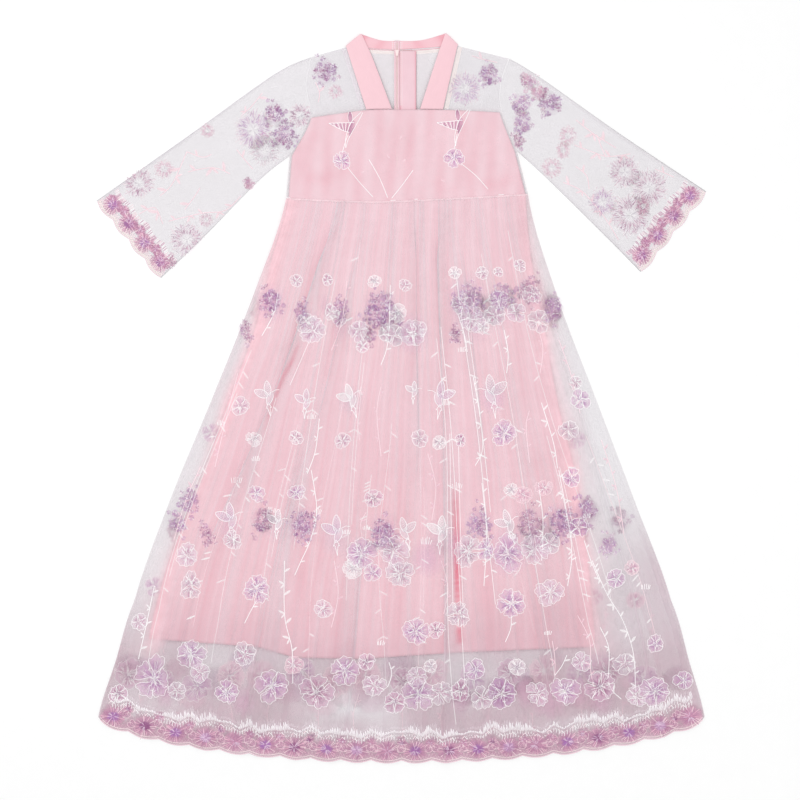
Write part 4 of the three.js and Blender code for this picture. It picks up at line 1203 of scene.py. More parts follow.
SLEEVE_WREATHS = {
    "left": [Blossom(*row) for row in [
        (-222, 405, 48, 15, "lavender"), (-151, 426, 30, 30, "plum"), (-204, 374, 38, 0, "grey", 1, 0.6),
        (-393, 325, 38, 10, "plum"), (-321, 240, 42, 25, "plum"), (-355, 346, 24, 0, "rose"),
        (-290, 404, 18, 40, "rose"), (-292, 270, 18, 10, "rose", 1, 0.6),
    ]],
    "right": [Blossom(*row) for row in [
        (226, 348, 26, 20, "rose"), (335, 342, 40, 10, "plum"), (372, 318, 46, 40, "plum"),
        (344, 277, 50, 25, "plum"), (302, 297, 34, 5, "lavender"), (363, 290, 24, 50, "rose", 0.7),
        (250, 396, 26, 12, "rose", 0.8), (243, 374, 22, 35, "rose", 0.8),
    ]],
}
SLEEVE_CLUSTERS = {
    "left": [Cluster(*row) for row in [
        (-189, 431, 32, 30, 20, "purple", 10), (-174, 398, 40, 28, -20, "purple", 14),
        (-228, 326, 12, 18, 40, "rose", 5), (-344, 208, 14, 16, 0, "plum", 5),
    ]],
    "right": [Cluster(*row) for row in [
        (190, 480, 26, 18, -30, "rose", 7), (206, 463, 24, 18, -30, "rose", 7),
        (223, 446, 32, 28, -20, "purple", 12), (181, 446, 28, 26, 0, "lavender", 9),
        (182, 418, 24, 34, 0, "lavender", 10), (176, 391, 12, 20, 20, "plum", 5),
    ]],
}
SLEEVE_VINES = {
    "left": [Vine(*row) for row in [
        ("blush", 15, [(-319, 342), (-282, 348), (-256, 339)]),
        ("blush", 15, [(-361, 306), (-342, 325), (-321, 372)]),
        ("blush", 13, [(-348, 268), (-298, 280), (-264, 284), (-240, 306)]),
        ("blush", 15, [(-392, 279), (-369, 288), (-357, 264)]),
        ("blush", 13, [(-324, 286), (-310, 304), (-301, 318)]),
        ("blush", 13, [(-246, 375), (-234, 360), (-222, 346)]),
        ("blush", 13, [(-208, 460), (-226, 438), (-238, 428)]),
        ("blush", 13, [(-321, 372), (-298, 364), (-284, 368)]),
    ]],
    "right": [Vine(*row) for row in [
        ("blush", 13, [(260, 382), (289, 371), (311, 365), (344, 369)]),
        ("blush", 13, [(293, 398), (300, 380), (306, 366)]),
        ("blush", 13, [(243, 326), (271, 313), (302, 278), (326, 240)]),
        ("blush", 13, [(381, 346), (396, 340), (409, 334)]),
        ("blush", 13, [(262, 420), (290, 398), (322, 378)]),
        ("blush", 13, [(262, 350), (278, 336), (282, 316)]),
    ]],
}
YOKE_CLUSTERS = {
    "left": [Cluster(-114, 494, 34, 32, 0, "purple", 12)],
    "right": [Cluster(131, 490, 24, 30, 0, "purple", 10)],
}
YOKE_WREATHS = {
    "left": [Blossom(-98, 462, 18, 20, "rose")],
    "right": [Blossom(95, 466, 42, 10, "lavender")],
}
YOKE_VINES = {
    "left": [Vine("blush", 12, [(-128, 476), (-122, 460), (-124, 446)])],
    "right": [Vine("blush", 12, [(106, 516), (122, 511), (144, 506)])],
}
BODICE_BIRDS = [Bird(-78, 410, 46, -8, "plum", 1, True), Bird(84, 413, 46, -4, "plum", 1, True)]
BODICE_BLOSSOMS = [Blossom(*row) for row in [
    (-88, 358, 24, 10, "lavender"), (80, 364, 26, 40, "lavender"), (-148, 424, 22, 20, "plum", 0.8),
]]
BODICE_STEMS = [
    [(18, 344), (2, 322), (-14, 302)],
    [(-48, 360), (-32, 332), (-20, 303)],
    [(-80, 348), (-62, 326), (-42, 304)],
    [(-88, 370), (-84, 384), (-80, 396)],
    [(90, 354), (112, 336), (130, 316)],
    [(80, 376), (82, 388), (84, 398)],
]


# ---- Materials ----


def new_group(name, inputs, outputs):
    """A shader node group with its sockets and its two end nodes."""
    group = bpy.data.node_groups.new(name, "ShaderNodeTree")
    for key, kind, default in inputs:
        socket = group.interface.new_socket(key, in_out="INPUT", socket_type=kind)
        if default is not None:
            socket.default_value = default
    for key, kind in outputs:
        group.interface.new_socket(key, in_out="OUTPUT", socket_type=kind)
    return group, group.nodes.new("NodeGroupInput"), group.nodes.new("NodeGroupOutput")


def feed(tree, node, **sockets):
    """Links or sets a node's inputs by name or by number (as _0, _1)."""
    for key, value in sockets.items():
        socket = node.inputs[int(key[1:])] if key[1:].isdigit() else node.inputs[key.replace("_", " ")]
        if isinstance(value, bpy.types.NodeSocket):
            tree.links.new(value, socket)
        else:
            socket.default_value = value


def put(tree, kind, settings=None, **sockets):
    """Adds a node, sets its options and feeds its inputs."""
    node = tree.nodes.new(kind)
    for key, value in (settings or {}).items():
        setattr(node, key, value)
    feed(tree, node, **sockets)
    return node


def spread(tree, name):
    """A value that the mesh holds for each of its points."""
    return put(tree, "ShaderNodeAttribute", {"attribute_name": name}).outputs["Fac"]


def maths(tree, operation, first, second=0.0, third=0.0):
    """One Math node's result."""
    return put(tree, "ShaderNodeMath", {"operation": operation}, _0=first, _1=second, _2=third).outputs[0]


def ramp(tree, value, low, high, out_low=0.0, out_high=1.0):
    """A smooth Map Range."""
    settings = {"interpolation_type": "SMOOTHSTEP"}
    return put(
        tree, "ShaderNodeMapRange", settings, Value=value, _1=low, _2=high, _3=out_low, _4=out_high
    ).outputs[0]


def weave_group():
    """Crossing threads: height = the larger of two sines, the warp and the weft; the tint is uneven."""
    inputs = [("Vector", "NodeSocketVector", None), ("Threads", "NodeSocketFloat", 2200.0)]
    group, start, end = new_group("dress weave", inputs,
                                  [("Height", "NodeSocketFloat"), ("Slub", "NodeSocketFloat")])
    split = put(group, "ShaderNodeSeparateXYZ", _0=start.outputs["Vector"])
    waves = []
    for axis in (0, 1):
        turns = maths(group, "MULTIPLY", split.outputs[axis], start.outputs["Threads"])
        waves.append(maths(group, "SINE", turns))
    crossing = maths(group, "MULTIPLY", waves[0], waves[1])
    group.links.new(maths(group, "MULTIPLY_ADD", crossing, 0.5, 0.5), end.inputs["Height"])
    long = put(group, "ShaderNodeMapping", _0=start.outputs["Vector"], Scale=(1.0, 0.06, 1.0))
    slub = put(group, "ShaderNodeTexNoise", Vector=long.outputs[0], Scale=900.0, Detail=2.0)
    group.links.new(slub.outputs[0], end.inputs["Slub"])
    return group


def mottle_group():
    """Soft uneven colour: two sizes of noise, as a factor near 1."""
    inputs = [("Vector", "NodeSocketVector", None), ("Strength", "NodeSocketFloat", 0.06)]
    group, start, end = new_group("dress mottle", inputs,
                                  [("Factor", "NodeSocketFloat"), ("Rumple", "NodeSocketFloat")])
    large = put(group, "ShaderNodeTexNoise", Vector=start.outputs["Vector"], Scale=14.0, Detail=2.0)
    small = put(group, "ShaderNodeTexNoise", Vector=start.outputs["Vector"], Scale=70.0, Detail=3.0)
    both = maths(group, "ADD", large.outputs[0], small.outputs[0])
    offset = maths(group, "SUBTRACT", both, 1.0)
    group.links.new(maths(group, "MULTIPLY_ADD", offset, start.outputs["Strength"], 1.0),
                    end.inputs["Factor"])
    group.links.new(both, end.inputs["Rumple"])
    return group


def net_group():
    """A fine net: threads where |sin| of either of two slanted coordinates is near 0."""
    inputs = [("Vector", "NodeSocketVector", None), ("Pitch", "NodeSocketFloat", 2400.0)]
    group, start, end = new_group("dress net", inputs, [("Thread", "NodeSocketFloat")])
    lines = []
    for slant in (0.58, -0.58):
        along = put(group, "ShaderNodeVectorMath", {"operation": "DOT_PRODUCT"}, _0=start.outputs["Vector"])
        along.inputs[1].default_value = (0.81, slant, 0.0)
        wave = maths(group, "SINE",
                     maths(group, "MULTIPLY", along.outputs["Value"], start.outputs["Pitch"]))
        lines.append(ramp(group, maths(group, "ABSOLUTE", wave), 0.12, 0.42, 1.0, 0.0))
    group.links.new(maths(group, "MAXIMUM", *lines), end.inputs["Thread"])
    return group


def shared(name, make):
    """The node group of that name, made the first time it is asked for."""
    return bpy.data.node_groups.get(name) or make()


def new_material(name):
    """An empty material with its Principled shader, and its tree."""
    material = bpy.data.materials.new(name)
    material.use_nodes = True
    tree = material.node_tree
    tree.nodes.clear()
    shader = tree.nodes.new("ShaderNodeBsdfPrincipled")
    out = tree.nodes.new("ShaderNodeOutputMaterial")
    tree.links.new(shader.outputs[0], out.inputs[0])
    return material, tree, shader


def group_node(tree, group, **sockets):
    """A group placed in a material with its own values."""
    return put(tree, "ShaderNodeGroup", {"node_tree": group}, **sockets)


def tinted(tree, colour, factor):
    """A colour times a factor."""
    scaled = put(tree, "ShaderNodeVectorMath", {"operation": "SCALE"})
    if isinstance(colour, bpy.types.NodeSocket):
        tree.links.new(colour, scaled.inputs[0])
    else:
        scaled.inputs[0].default_value = colour
    tree.links.new(factor, scaled.inputs["Scale"])
    return scaled.outputs[0]


def mixed(tree, factor, first, second):
    """A mix of two colours."""
    node = put(tree, "ShaderNodeMix", {"data_type": "RGBA"})
    for value, socket in ((factor, node.inputs[0]), (first, node.inputs[6]), (second, node.inputs[7])):
        if isinstance(value, bpy.types.NodeSocket):
            tree.links.new(value, socket)
        else:
            socket.default_value = value if isinstance(value, float) else (*value, 1.0)
    return node.outputs[2]


def letting_through(tree, alpha, share):
    """The alpha, less for the light that falls on what lies below: a share of it passes on. Under five clear
    layers the next one is solid, so that a deep pile of stitches keeps its own colour."""
    path = tree.nodes.new("ShaderNodeLightPath")
    onward = maths(tree, "MAXIMUM", path.outputs["Is Shadow Ray"], path.outputs["Is Diffuse Ray"])
    deep = maths(tree, "GREATER_THAN", path.outputs["Transparent Depth"], CLEAR_LAYERS + 0.5)
    seen = maths(tree, "MULTIPLY", deep, maths(tree, "SUBTRACT", 1.0, onward))
    return maths(tree, "MAXIMUM", seen,
                 maths(tree, "MULTIPLY", alpha, maths(tree, "MULTIPLY_ADD", onward, -share, 1.0)))


def net_material(colours):
    """Sheer net: holes and threads in the alpha, more cover where the cloth is steep or doubled."""
    material, tree, shader = new_material("embroidered net cloth")
    uv = put(tree, "ShaderNodeUVMap").outputs[0]
    thread = group_node(tree, shared("dress net", net_group), Vector=uv).outputs["Thread"]
    mottle = group_node(tree, shared("dress mottle", mottle_group), Vector=uv, Strength=0.25)
    steep = spread(tree, "steepness")
    base = maths(tree, "MULTIPLY_ADD", thread, colours.net_cover * 0.3, colours.net_cover * 0.66)
    # glow: painted pink light from the lining, mixed into the net's colour and raising its cover
    glow = spread(tree, "glow")
    more = maths(tree, "MULTIPLY_ADD", glow, 1.5, maths(tree, "MULTIPLY_ADD", steep, 1.4, 1.0))
    alpha = maths(tree, "MULTIPLY", maths(tree, "MULTIPLY", base, more), mottle.outputs["Factor"])
    feed(tree, shader, Alpha=letting_through(tree, maths(tree, "MINIMUM", alpha, 0.9), NET_LETS_THROUGH))
    tint = spread(tree, "blush")
    tone = mixed(tree, tint, tuple(colours.net), tuple(colours.net_blush))
    tone = mixed(tree, glow, tone, tuple(colours.satin))
    feed(tree, shader, Base_Color=tinted(tree, tone, mottle.outputs["Factor"]))
    bump = put(tree, "ShaderNodeBump", Strength=0.15, Distance=0.0002, Height=thread)
    feed(tree, shader, Normal=bump.outputs[0])
    feed(tree, shader, Roughness=0.7)
    feed(tree, shader, Specular_IOR_Level=0.25)
    return material


def satin_material(name, colour, deep, threads, strength):
    """Pink satin: a fine weave, long slubs, an uneven tint, and painted shade, a deeper pink, in the creases."""
    material, tree, shader = new_material(name)
    uv = put(tree, "ShaderNodeUVMap").outputs[0]
    weave = group_node(tree, shared("dress weave", weave_group), Vector=uv, Threads=threads)
    mottle = group_node(tree, shared("dress mottle", mottle_group), Vector=uv, Strength=strength)
    # painted shade: the crease value mixes in the deep colour, standing in for shade in creases and folds; on
    # the zip tapes it darkens their edges
    crease = spread(tree, "crease")
    tone = mixed(tree, crease, tuple(colour), tuple(deep))
    grain = maths(tree, "MULTIPLY_ADD", weave.outputs["Slub"], 0.08, 0.96)
    factor = maths(tree, "MULTIPLY", grain, mottle.outputs["Factor"])
    feed(tree, shader, Base_Color=tinted(tree, tone, factor))
    rough = maths(tree, "MULTIPLY_ADD", weave.outputs["Slub"], 0.16, 0.36)
    feed(tree, shader, Roughness=rough)
    fine = put(tree, "ShaderNodeBump", Strength=0.2, Distance=0.0001, Height=weave.outputs["Height"])
    soft = put(tree, "ShaderNodeBump", Strength=0.25, Distance=0.002, Height=mottle.outputs["Rumple"])
    tree.links.new(fine.outputs[0], soft.inputs["Normal"])
    feed(tree, shader, Normal=soft.outputs[0])
    feed(tree, shader, Sheen_Weight=0.25)
    feed(tree, shader, Sheen_Roughness=0.4)
    feed(tree, shader, Specular_IOR_Level=0.35)
    return material


def thread_material():
    """Rayon thread: coloured by the stitches, ribbed across, with gaps between the threads of a fill."""
    material, tree, shader = new_material("embroidery thread")
    uv = put(tree, "ShaderNodeUVMap").outputs[0]
    split = put(tree, "ShaderNodeSeparateXYZ", _0=uv)
    turns = maths(tree, "MULTIPLY", split.outputs[1], 2 * np.pi / (STITCH_PITCH / 1000))
    rib = maths(tree, "MULTIPLY_ADD", maths(tree, "COSINE", turns), 0.5, 0.5)
    twist = maths(tree, "SINE", maths(tree, "MULTIPLY_ADD", split.outputs[0], 5200.0, turns))
    cover = spread(tree, "cover")
    mask = ramp(tree, rib, 0.0, 0.7, 0.45, 1.0)
    alpha = maths(tree, "MULTIPLY", cover, mask)
    feed(tree, shader, Alpha=letting_through(tree, alpha, THREAD_LETS_THROUGH))
    colour = put(tree, "ShaderNodeAttribute", {"attribute_name": "thread_colour"}).outputs["Color"]
    place = put(tree, "ShaderNodeTexCoord").outputs["Object"]
    mottle = group_node(tree, shared("dress mottle", mottle_group), Vector=place, Strength=0.15)
    shade = maths(tree, "MULTIPLY", maths(tree, "MULTIPLY_ADD", rib, 0.1, 0.92), mottle.outputs["Factor"])
    feed(tree, shader, Base_Color=tinted(tree, colour, shade))
    height = maths(tree, "MULTIPLY_ADD", twist, 0.25, rib)
    bump = put(tree, "ShaderNodeBump", Strength=0.3, Distance=0.0003, Height=height)
    feed(tree, shader, Normal=bump.outputs[0])
    feed(tree, shader, Roughness=0.38)
    feed(tree, shader, Sheen_Weight=0.2)
    return material


def enamel_material(name, colour, roughness):
    """Painted metal or moulded plastic: fine pits and an uneven gloss."""
    material, tree, shader = new_material(name)
    place = put(tree, "ShaderNodeTexCoord").outputs["Object"]
    mottle = group_node(tree, shared("dress mottle", mottle_group), Vector=place, Strength=0.12)
    pits = put(tree, "ShaderNodeTexNoise", Vector=place, Scale=1800.0, Detail=2.0)
    feed(tree, shader, Base_Color=tinted(tree, tuple(colour), mottle.outputs["Factor"]))
    feed(tree, shader, Roughness=maths(tree, "MULTIPLY_ADD", pits.outputs[0], 0.2, roughness))
    bump = put(tree, "ShaderNodeBump", Strength=0.2, Distance=0.0001, Height=pits.outputs[0])
    feed(tree, shader, Normal=bump.outputs[0])
    return material


def finish_of(name):
    """The finished material of that name, made from the colours the first time that it is asked for."""
    colours = bpy.context.scene.hanfu_colours
    if name in bpy.data.materials:
        return bpy.data.materials[name]
    makers = {
        "embroidered net cloth": lambda: net_material(colours),
        "pink satin": lambda: satin_material("pink satin", colours.satin, colours.shade_and_edge_pink, 4200.0, 0.05),
        "neck band satin": lambda: satin_material("neck band satin", colours.band, colours.shade_and_edge_pink,
                                                  3600.0, 0.06),
        "zip tape weave": lambda: satin_material("zip tape weave", colours.zip_tape, colours.shade_and_edge_pink,
                                                 2600.0, 0.08),
        "embroidery thread": thread_material,
        "zip coil": lambda: enamel_material("zip coil", colours.zip_coil, 0.35),
        "zip slider enamel": lambda: enamel_material("zip slider enamel", colours.zip_coil, 0.25),
    }
    return makers[name]()


# ---- What a user may change ----


def colour_property(name, description, colour):
    """A colour setting."""
    return bpy.props.FloatVectorProperty(
        name=name, description=description, subtype="COLOR", size=3, min=0, max=1, default=tuple(colour)
    )


class HanfuColours(bpy.types.PropertyGroup):
    """The dress's colours."""

    net: colour_property("Net", "Colour of the net's threads", linear(217, 211, 217))
    net_blush: colour_property("Net by the hem", "Colour of the net's threads near the hem",
                               linear(197, 169, 181))
    net_cover: bpy.props.FloatProperty(
        name="Net cover", description="How much the net's threads hide", default=0.32, min=0, max=1,
        subtype="FACTOR"
    )
    satin: colour_property("Satin", "Colour of the lining", linear(246, 208, 216))
    # painted shade: the deep pink laid in the creases and folds of the lining and the neck band, and on the zip
    # tapes' edges
    shade_and_edge_pink: colour_property("Crease", "Colour deep in the lining's creases", linear(230, 126, 146))
    band: colour_property("Neck band", "Colour of the neck band", linear(241, 200, 208))
    zip_tape: colour_property("Zip tape", "Colour of the zip's tapes and guard", linear(234, 199, 208))
    zip_coil: colour_property("Zip coil", "Colour of the zip's coil and slider", linear(250, 226, 226))


class HanfuSizes(bpy.types.PropertyGroup):
    """The dress's fine sizes."""

    satin_thickness: bpy.props.FloatProperty(
        name="Satin", description="Thickness of the satin", default=0.0004, unit="LENGTH", precision=5
    )
    seam_stitch: bpy.props.FloatProperty(
        name="Seam stitch", description="Length of a seam's stitch", default=0.003, unit="LENGTH",
        precision=4
    )
    coil_wire: bpy.props.FloatProperty(
        name="Coil wire", description="Thickness of the zip coil's wire", default=0.0007, unit="LENGTH",
        precision=5
    )


# ---- Pieces ----

GRIDS = {}  # the finished grids that later pieces lie on


class StageOperator(bpy.types.Operator):
    """Floor, lights and the camera straight above"""

    bl_idname = "hanfu.stage"
    bl_label = "Stage"

    def execute(self, context):
        scene = context.scene
        mesh = bpy.data.meshes.new("floor")
        reach = 6.0
        mesh.from_pydata([(-reach, -reach, 0), (reach, -reach, 0), (reach, reach, 0), (-reach, reach, 0)],
                         [], [(0, 1, 2, 3)])
        floor = bpy.data.objects.new("floor", mesh)
        scene.collection.objects.link(floor)
        material, tree, shader = new_material("pale floor")
        place = put(tree, "ShaderNodeTexCoord").outputs["Object"]
        grain = put(tree, "ShaderNodeTexNoise", Vector=place, Scale=40.0, Detail=3.0)
        shade = maths(tree, "MULTIPLY_ADD", grain.outputs[0], 0.02, 0.93)
        feed(tree, shader, Base_Color=tinted(tree, (1.0, 1.0, 1.0), shade))
        feed(tree, shader, Roughness=0.9)
        mesh.materials.append(material)

        for name, spot, size, power in [("key", (-1.2, 0.8, 2.8), 2.6, 37.0),
                                        ("fill", (1.6, -0.8, 2.4), 2.6, 16.0)]:
            light = bpy.data.lights.new(name, "AREA")
            light.size = size
            light.energy = power
            lamp = bpy.data.objects.new(name, light)
            lamp.location = spot
            toward = -np.array(spot)
            lamp.rotation_mode = "QUATERNION"
            lamp.rotation_quaternion = Vector(toward).to_track_quat("-Z", "Y")
            scene.collection.objects.link(lamp)
        world = bpy.data.worlds.new("soft white room")
        world.use_nodes = True
        world.node_tree.nodes["Background"].inputs[0].default_value = (1.0, 1.0, 1.0, 1.0)
        world.node_tree.nodes["Background"].inputs[1].default_value = 0.7
        scene.world = world
        scene.view_settings.view_transform = "Standard"

        camera = bpy.data.cameras.new("camera")
        camera.lens = 90
        camera.sensor_width = 36
        view_width = 1.2  # metres across the frame, at the floor
        height = view_width * camera.lens / camera.sensor_width
        eye = bpy.data.objects.new("camera", camera)
        middle = (np.array([-1.5, 0.0]) + SHIFT[:2]) / 1000
        eye.location = (middle[0], middle[1], height)
        scene.collection.objects.link(eye)
        scene.camera = eye
        return {"FINISHED"}


def back_halves(area, side):
    """One half of a back panel, cut off at the zip's line."""
    v = np.linspace(0, 1, 61)
    cut = np.array([share_at(lambda u, row=row: area(u, np.full_like(u, row)), CENTRE_BACK) for row in v])

    def half(u, w):
        share = np.interp(w, v, cut)
        return area(u * share if side == "left" else mix(share, 1, u), w)

    return half


class BodiceOperator(bpy.types.Operator):
    """Bodice: satin under net, front and back"""

    bl_idname = "hanfu.bodice"
    bl_label = "Bodice"

    def execute(self, context):
        satin = finish_of("pink satin")
        net = finish_of("embroidered net cloth")
        thick = context.scene.hanfu_sizes.satin_thickness * 1000

        def satin_height(spot, u, v):
            crown = SATIN_CROWN * smooth(from_side(satin_bodice, u, v), 0, CROWN_RUN)
            return 2 * LAYER + 0.4 + crown

        grid = cloth_grid(trimmed(satin_bodice), satin_height, 110, 50)
        grid[..., 2] += 0.5
        # painted shade: the pink deepens along the creases and in slanted sine bands that stand for soft folds
        bands = np.sin(grid[..., 0] / 6.5 + grid[..., 1] / 60) + np.sin(grid[..., 0] / 3.9
                                                                        - grid[..., 1] / 45)
        crease = creased(grid, BODICE_CREASES) + 0.1 + 0.07 * bands
        cloth("bodice_satin_front", grid, satin, ["bodice_front_satin"],
              thick, {"crease": crease})

        def net_height(spot, u, v):
            inside = from_side(net_bodice, u, v)
            climb = 2 * LAYER * smooth(inside, 0, NET_SHOULDER)
            crown = SATIN_CROWN * smooth(inside, NET_SHOULDER, CROWN_RUN + NET_SHOULDER)
            wrinkle = 0.35 * ripple(spot[..., 0] / 16, spot[..., 1] / 12, 8) * smooth(inside, 4, 20)
            return LAYER + climb + crown + 0.65 + wrinkle * np.sin(np.pi * v) ** 0.5

        grid = cloth_grid(trimmed(net_bodice), net_height, 120, 54)
        GRIDS["bodice_front"] = grid
        cloth("bodice_net_front", grid, net, ["bodice_front_net"],
              0, {"steepness": np.minimum(steepness(grid), 0.3)})

        for side in SIDES:
            grid = cloth_grid(trimmed(back_halves(net_bodice, side)), lambda *_: 0.5, 40, 30)
            cloth(f"bodice_net_back_{side}", grid, net, [f"bodice_back_net_{side}"],
                  0, {"steepness": steepness(grid)})
            grid = cloth_grid(trimmed(back_halves(satin_bodice, side)), lambda *_: LAYER + 0.5, 40, 30)
            crease = 0.1 + 0.08 * ripple(grid[..., 0] / 20, grid[..., 1] / 14, 9)
            cloth(f"bodice_satin_back_{side}", grid, satin, [f"bodice_back_satin_{side}"],
                  thick, {"crease": crease})
        return {"FINISHED"}


class YokeOperator(bpy.types.Operator):
    """Yokes: net between the shoulders and the bodice, front and back"""

    bl_idname = "hanfu.yokes"
    bl_label = "Yokes"

    def execute(self, context):
        net = finish_of("embroidered net cloth")
        for name, side in SIDES.items():

            def rise(spot, u, v):
                slope = smooth(v, 0, 1) * smooth(u, 0, 0.3)
                wrinkle = 0.3 * ripple(spot[..., 0] / 9, spot[..., 1] / 15,
                                       12) * np.sin(np.pi * u) * np.sin(np.pi * v)
                return LAYER + 0.5 + (YOKE_FOOT - LAYER) * slope + wrinkle

            grid = cloth_grid(trimmed(yoke_front_area(side)), rise, 36, 50)
            GRIDS[f"yoke_front_{name}"] = grid
            piece = cloth(f"yoke_net_front_{name}", grid, net, [f"yoke_front_{name}"],
                          0,
                          {"steepness": steepness(grid)})
            face_up(piece)
            grid = cloth_grid(trimmed(yoke_back_area(side)), lambda *_: 0.5, 44, 40)
            GRIDS[f"yoke_back_{name}"] = grid
            by_neck = 0.3 * smooth(60 - abs(grid[..., 0]), 0, 25)
            values = {"steepness": steepness(grid) + 0.25 + by_neck, "blush": by_neck}
            piece = cloth(f"yoke_net_back_{name}", grid, net, [f"yoke_back_{name}"],
                          0, values)
            face_up(piece)
        return {"FINISHED"}


def face_up(piece):
    """Turns a sheet over where its rows run the other way, so that its faces look up."""
    mesh = piece.data
    if mesh.polygons[len(mesh.polygons) // 2].normal.z < 0:
        mesh.flip_normals()


class SleeveOperator(bpy.types.Operator):
    """Sleeves: flattened tubes of net with a scalloped cuff"""

    bl_idname = "hanfu.sleeves"
    bl_label = "Sleeves"

    def execute(self, context):
        net = finish_of("embroidered net cloth")
        for name, side in SIDES.items():
            area = trimmed(sleeve_area(side))
            columns, rows = 90, 90
            s, t = shares(columns, rows)
            flat = area(s, t)
            swell = np.sin(np.pi * s) ** 0.25
            wave = np.sin(np.pi * s) ** 2 * (0.5 + 0.5 * np.sin(9 * s + 7 * t)) * np.sin(np.pi * t)
            drape = 0.5 * ripple(flat[..., 0] / 13, flat[..., 1] / 13,
                                 20) * np.sin(np.pi * s) * np.sin(np.pi * t)
            top = SLEEVE_MIDDLE + swell * (2 * LAYER - 0.5 - SLEEVE_MIDDLE) + SLEEVE_WRINKLE * wave + drape
            low = SLEEVE_MIDDLE - swell * (SLEEVE_MIDDLE - 0.5) + 0 * t
            upper = np.concatenate([flat, top[..., None]], -1)
            lower = np.concatenate([flat, low[..., None]], -1)
            ring = np.concatenate([upper, lower[:, -2:0:-1]], axis=1)
            GRIDS[f"sleeve_{name}"] = upper
            GRIDS[f"sleeve_under_{name}"] = lower
            around = ring.shape[1]
            faces = quads(rows, around, wrap=True)
            if name == "left":
                faces = faces[:, ::-1]
            steep = np.concatenate([steepness(upper), steepness(lower)[:, -2:0:-1]], axis=1)
            edge = np.exp(-np.minimum(s, 1 - s) * 60)
            edge = np.concatenate([edge, edge[:, -2:0:-1]], axis=1)
            values = {"steepness": np.minimum(steep, 0.6) + 0.8 * edge}
            closed = np.concatenate([ring, ring[:, :1]], axis=1)
            uv = run_lengths(closed)[:, :-1]
            uv[:, columns:] *= 1.6
            piece = new_piece(f"sleeve_net_{name}", ring.reshape(-1, 3), faces, net, uv, values)
            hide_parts(f"sleeve_{name}")
        return {"FINISHED"}


BAND_TURN = (BAND_CLOTH + SEAM) / 2
BAND_FOOT = 5
BAND_FRONT_ROWS = 44
BAND_TURN_ROWS = 7
BAND_BACK_ROWS = 30


def neck_band_grid(side, around=26):
    """One half of the neck band: a flat strip from the foot of the neckline, over the shoulder and behind
    the neck. Its section is a squashed ellipse, |x|^4 + |z|^2 = 1, carried along the strip's middle."""
    sign = np.sign(side["neck_peak"][0])
    end = CENTRE_BACK + sign * SEAM / 2
    outer, inner = side["band_foot"]
    foot = stretch(bodice_top, share_at(bodice_top, outer), share_at(bodice_top, inner))
    foot_outer, foot_inner = foot(np.array([0.0, 1.0]))
    base, peak = side["neck_base"], side["neck_peak"]
    front = patch(foot, through(base, peak), through(foot_outer, base),
                  through(foot_inner, side["band_middle"], peak))
    behind = patch(
        through(base, peak),
        through((end, NECK_BACK_SEAM), (end, NECK_BACK_TOP)),
        through(base, (end, NECK_BACK_SEAM)),
        through(peak, side["band_back_top"], (end, NECK_BACK_TOP)),
    )
    fold = np.subtract(peak, base)
    fold = fold / np.linalg.norm(fold)
    out = np.array([-fold[1], fold[0]]) * np.sign(-fold[1] * sign)
    low = BAND_CLOTH / 2
    high = low + 2 * BAND_TURN
    angle = np.linspace(0, 2 * np.pi, around, endpoint=False)
    across = np.sign(np.cos(angle)) * np.abs(np.cos(angle)) ** 0.5
    up = np.sin(angle) * BAND_CLOTH / 2
    s = mix(0.012, 0.988, (across + 1) / 2)
    rows = []
    for t in np.linspace(0.004, 1, BAND_FRONT_ROWS):
        spot = front(s, np.full_like(s, t))
        crease = 0.2 * np.sin(9 * t + 2 * s) * np.sin(np.pi * t)
        rows.append((spot, mix(BAND_FOOT, high, t) + crease * 0.5, 0.0))
    for turn in np.linspace(0, np.pi, BAND_TURN_ROWS + 2)[1:-1]:
        spot = front(s, np.ones_like(s)) + out * BAND_TURN * np.sin(turn)
        rows.append((spot, low + BAND_TURN * (1 + np.cos(turn)), turn))
    for t in np.linspace(0, 1, BAND_BACK_ROWS):
        rows.append((behind(s, np.full_like(s, t)), low + 0 * s, np.pi))
    grid = []
    for spot, level, lean in rows:
        flat = spot + out * (up * np.sin(lean))[:, None]
        grid.append(np.concatenate([flat, (level + up * np.cos(lean))[:, None]], -1))
    return np.array(grid)


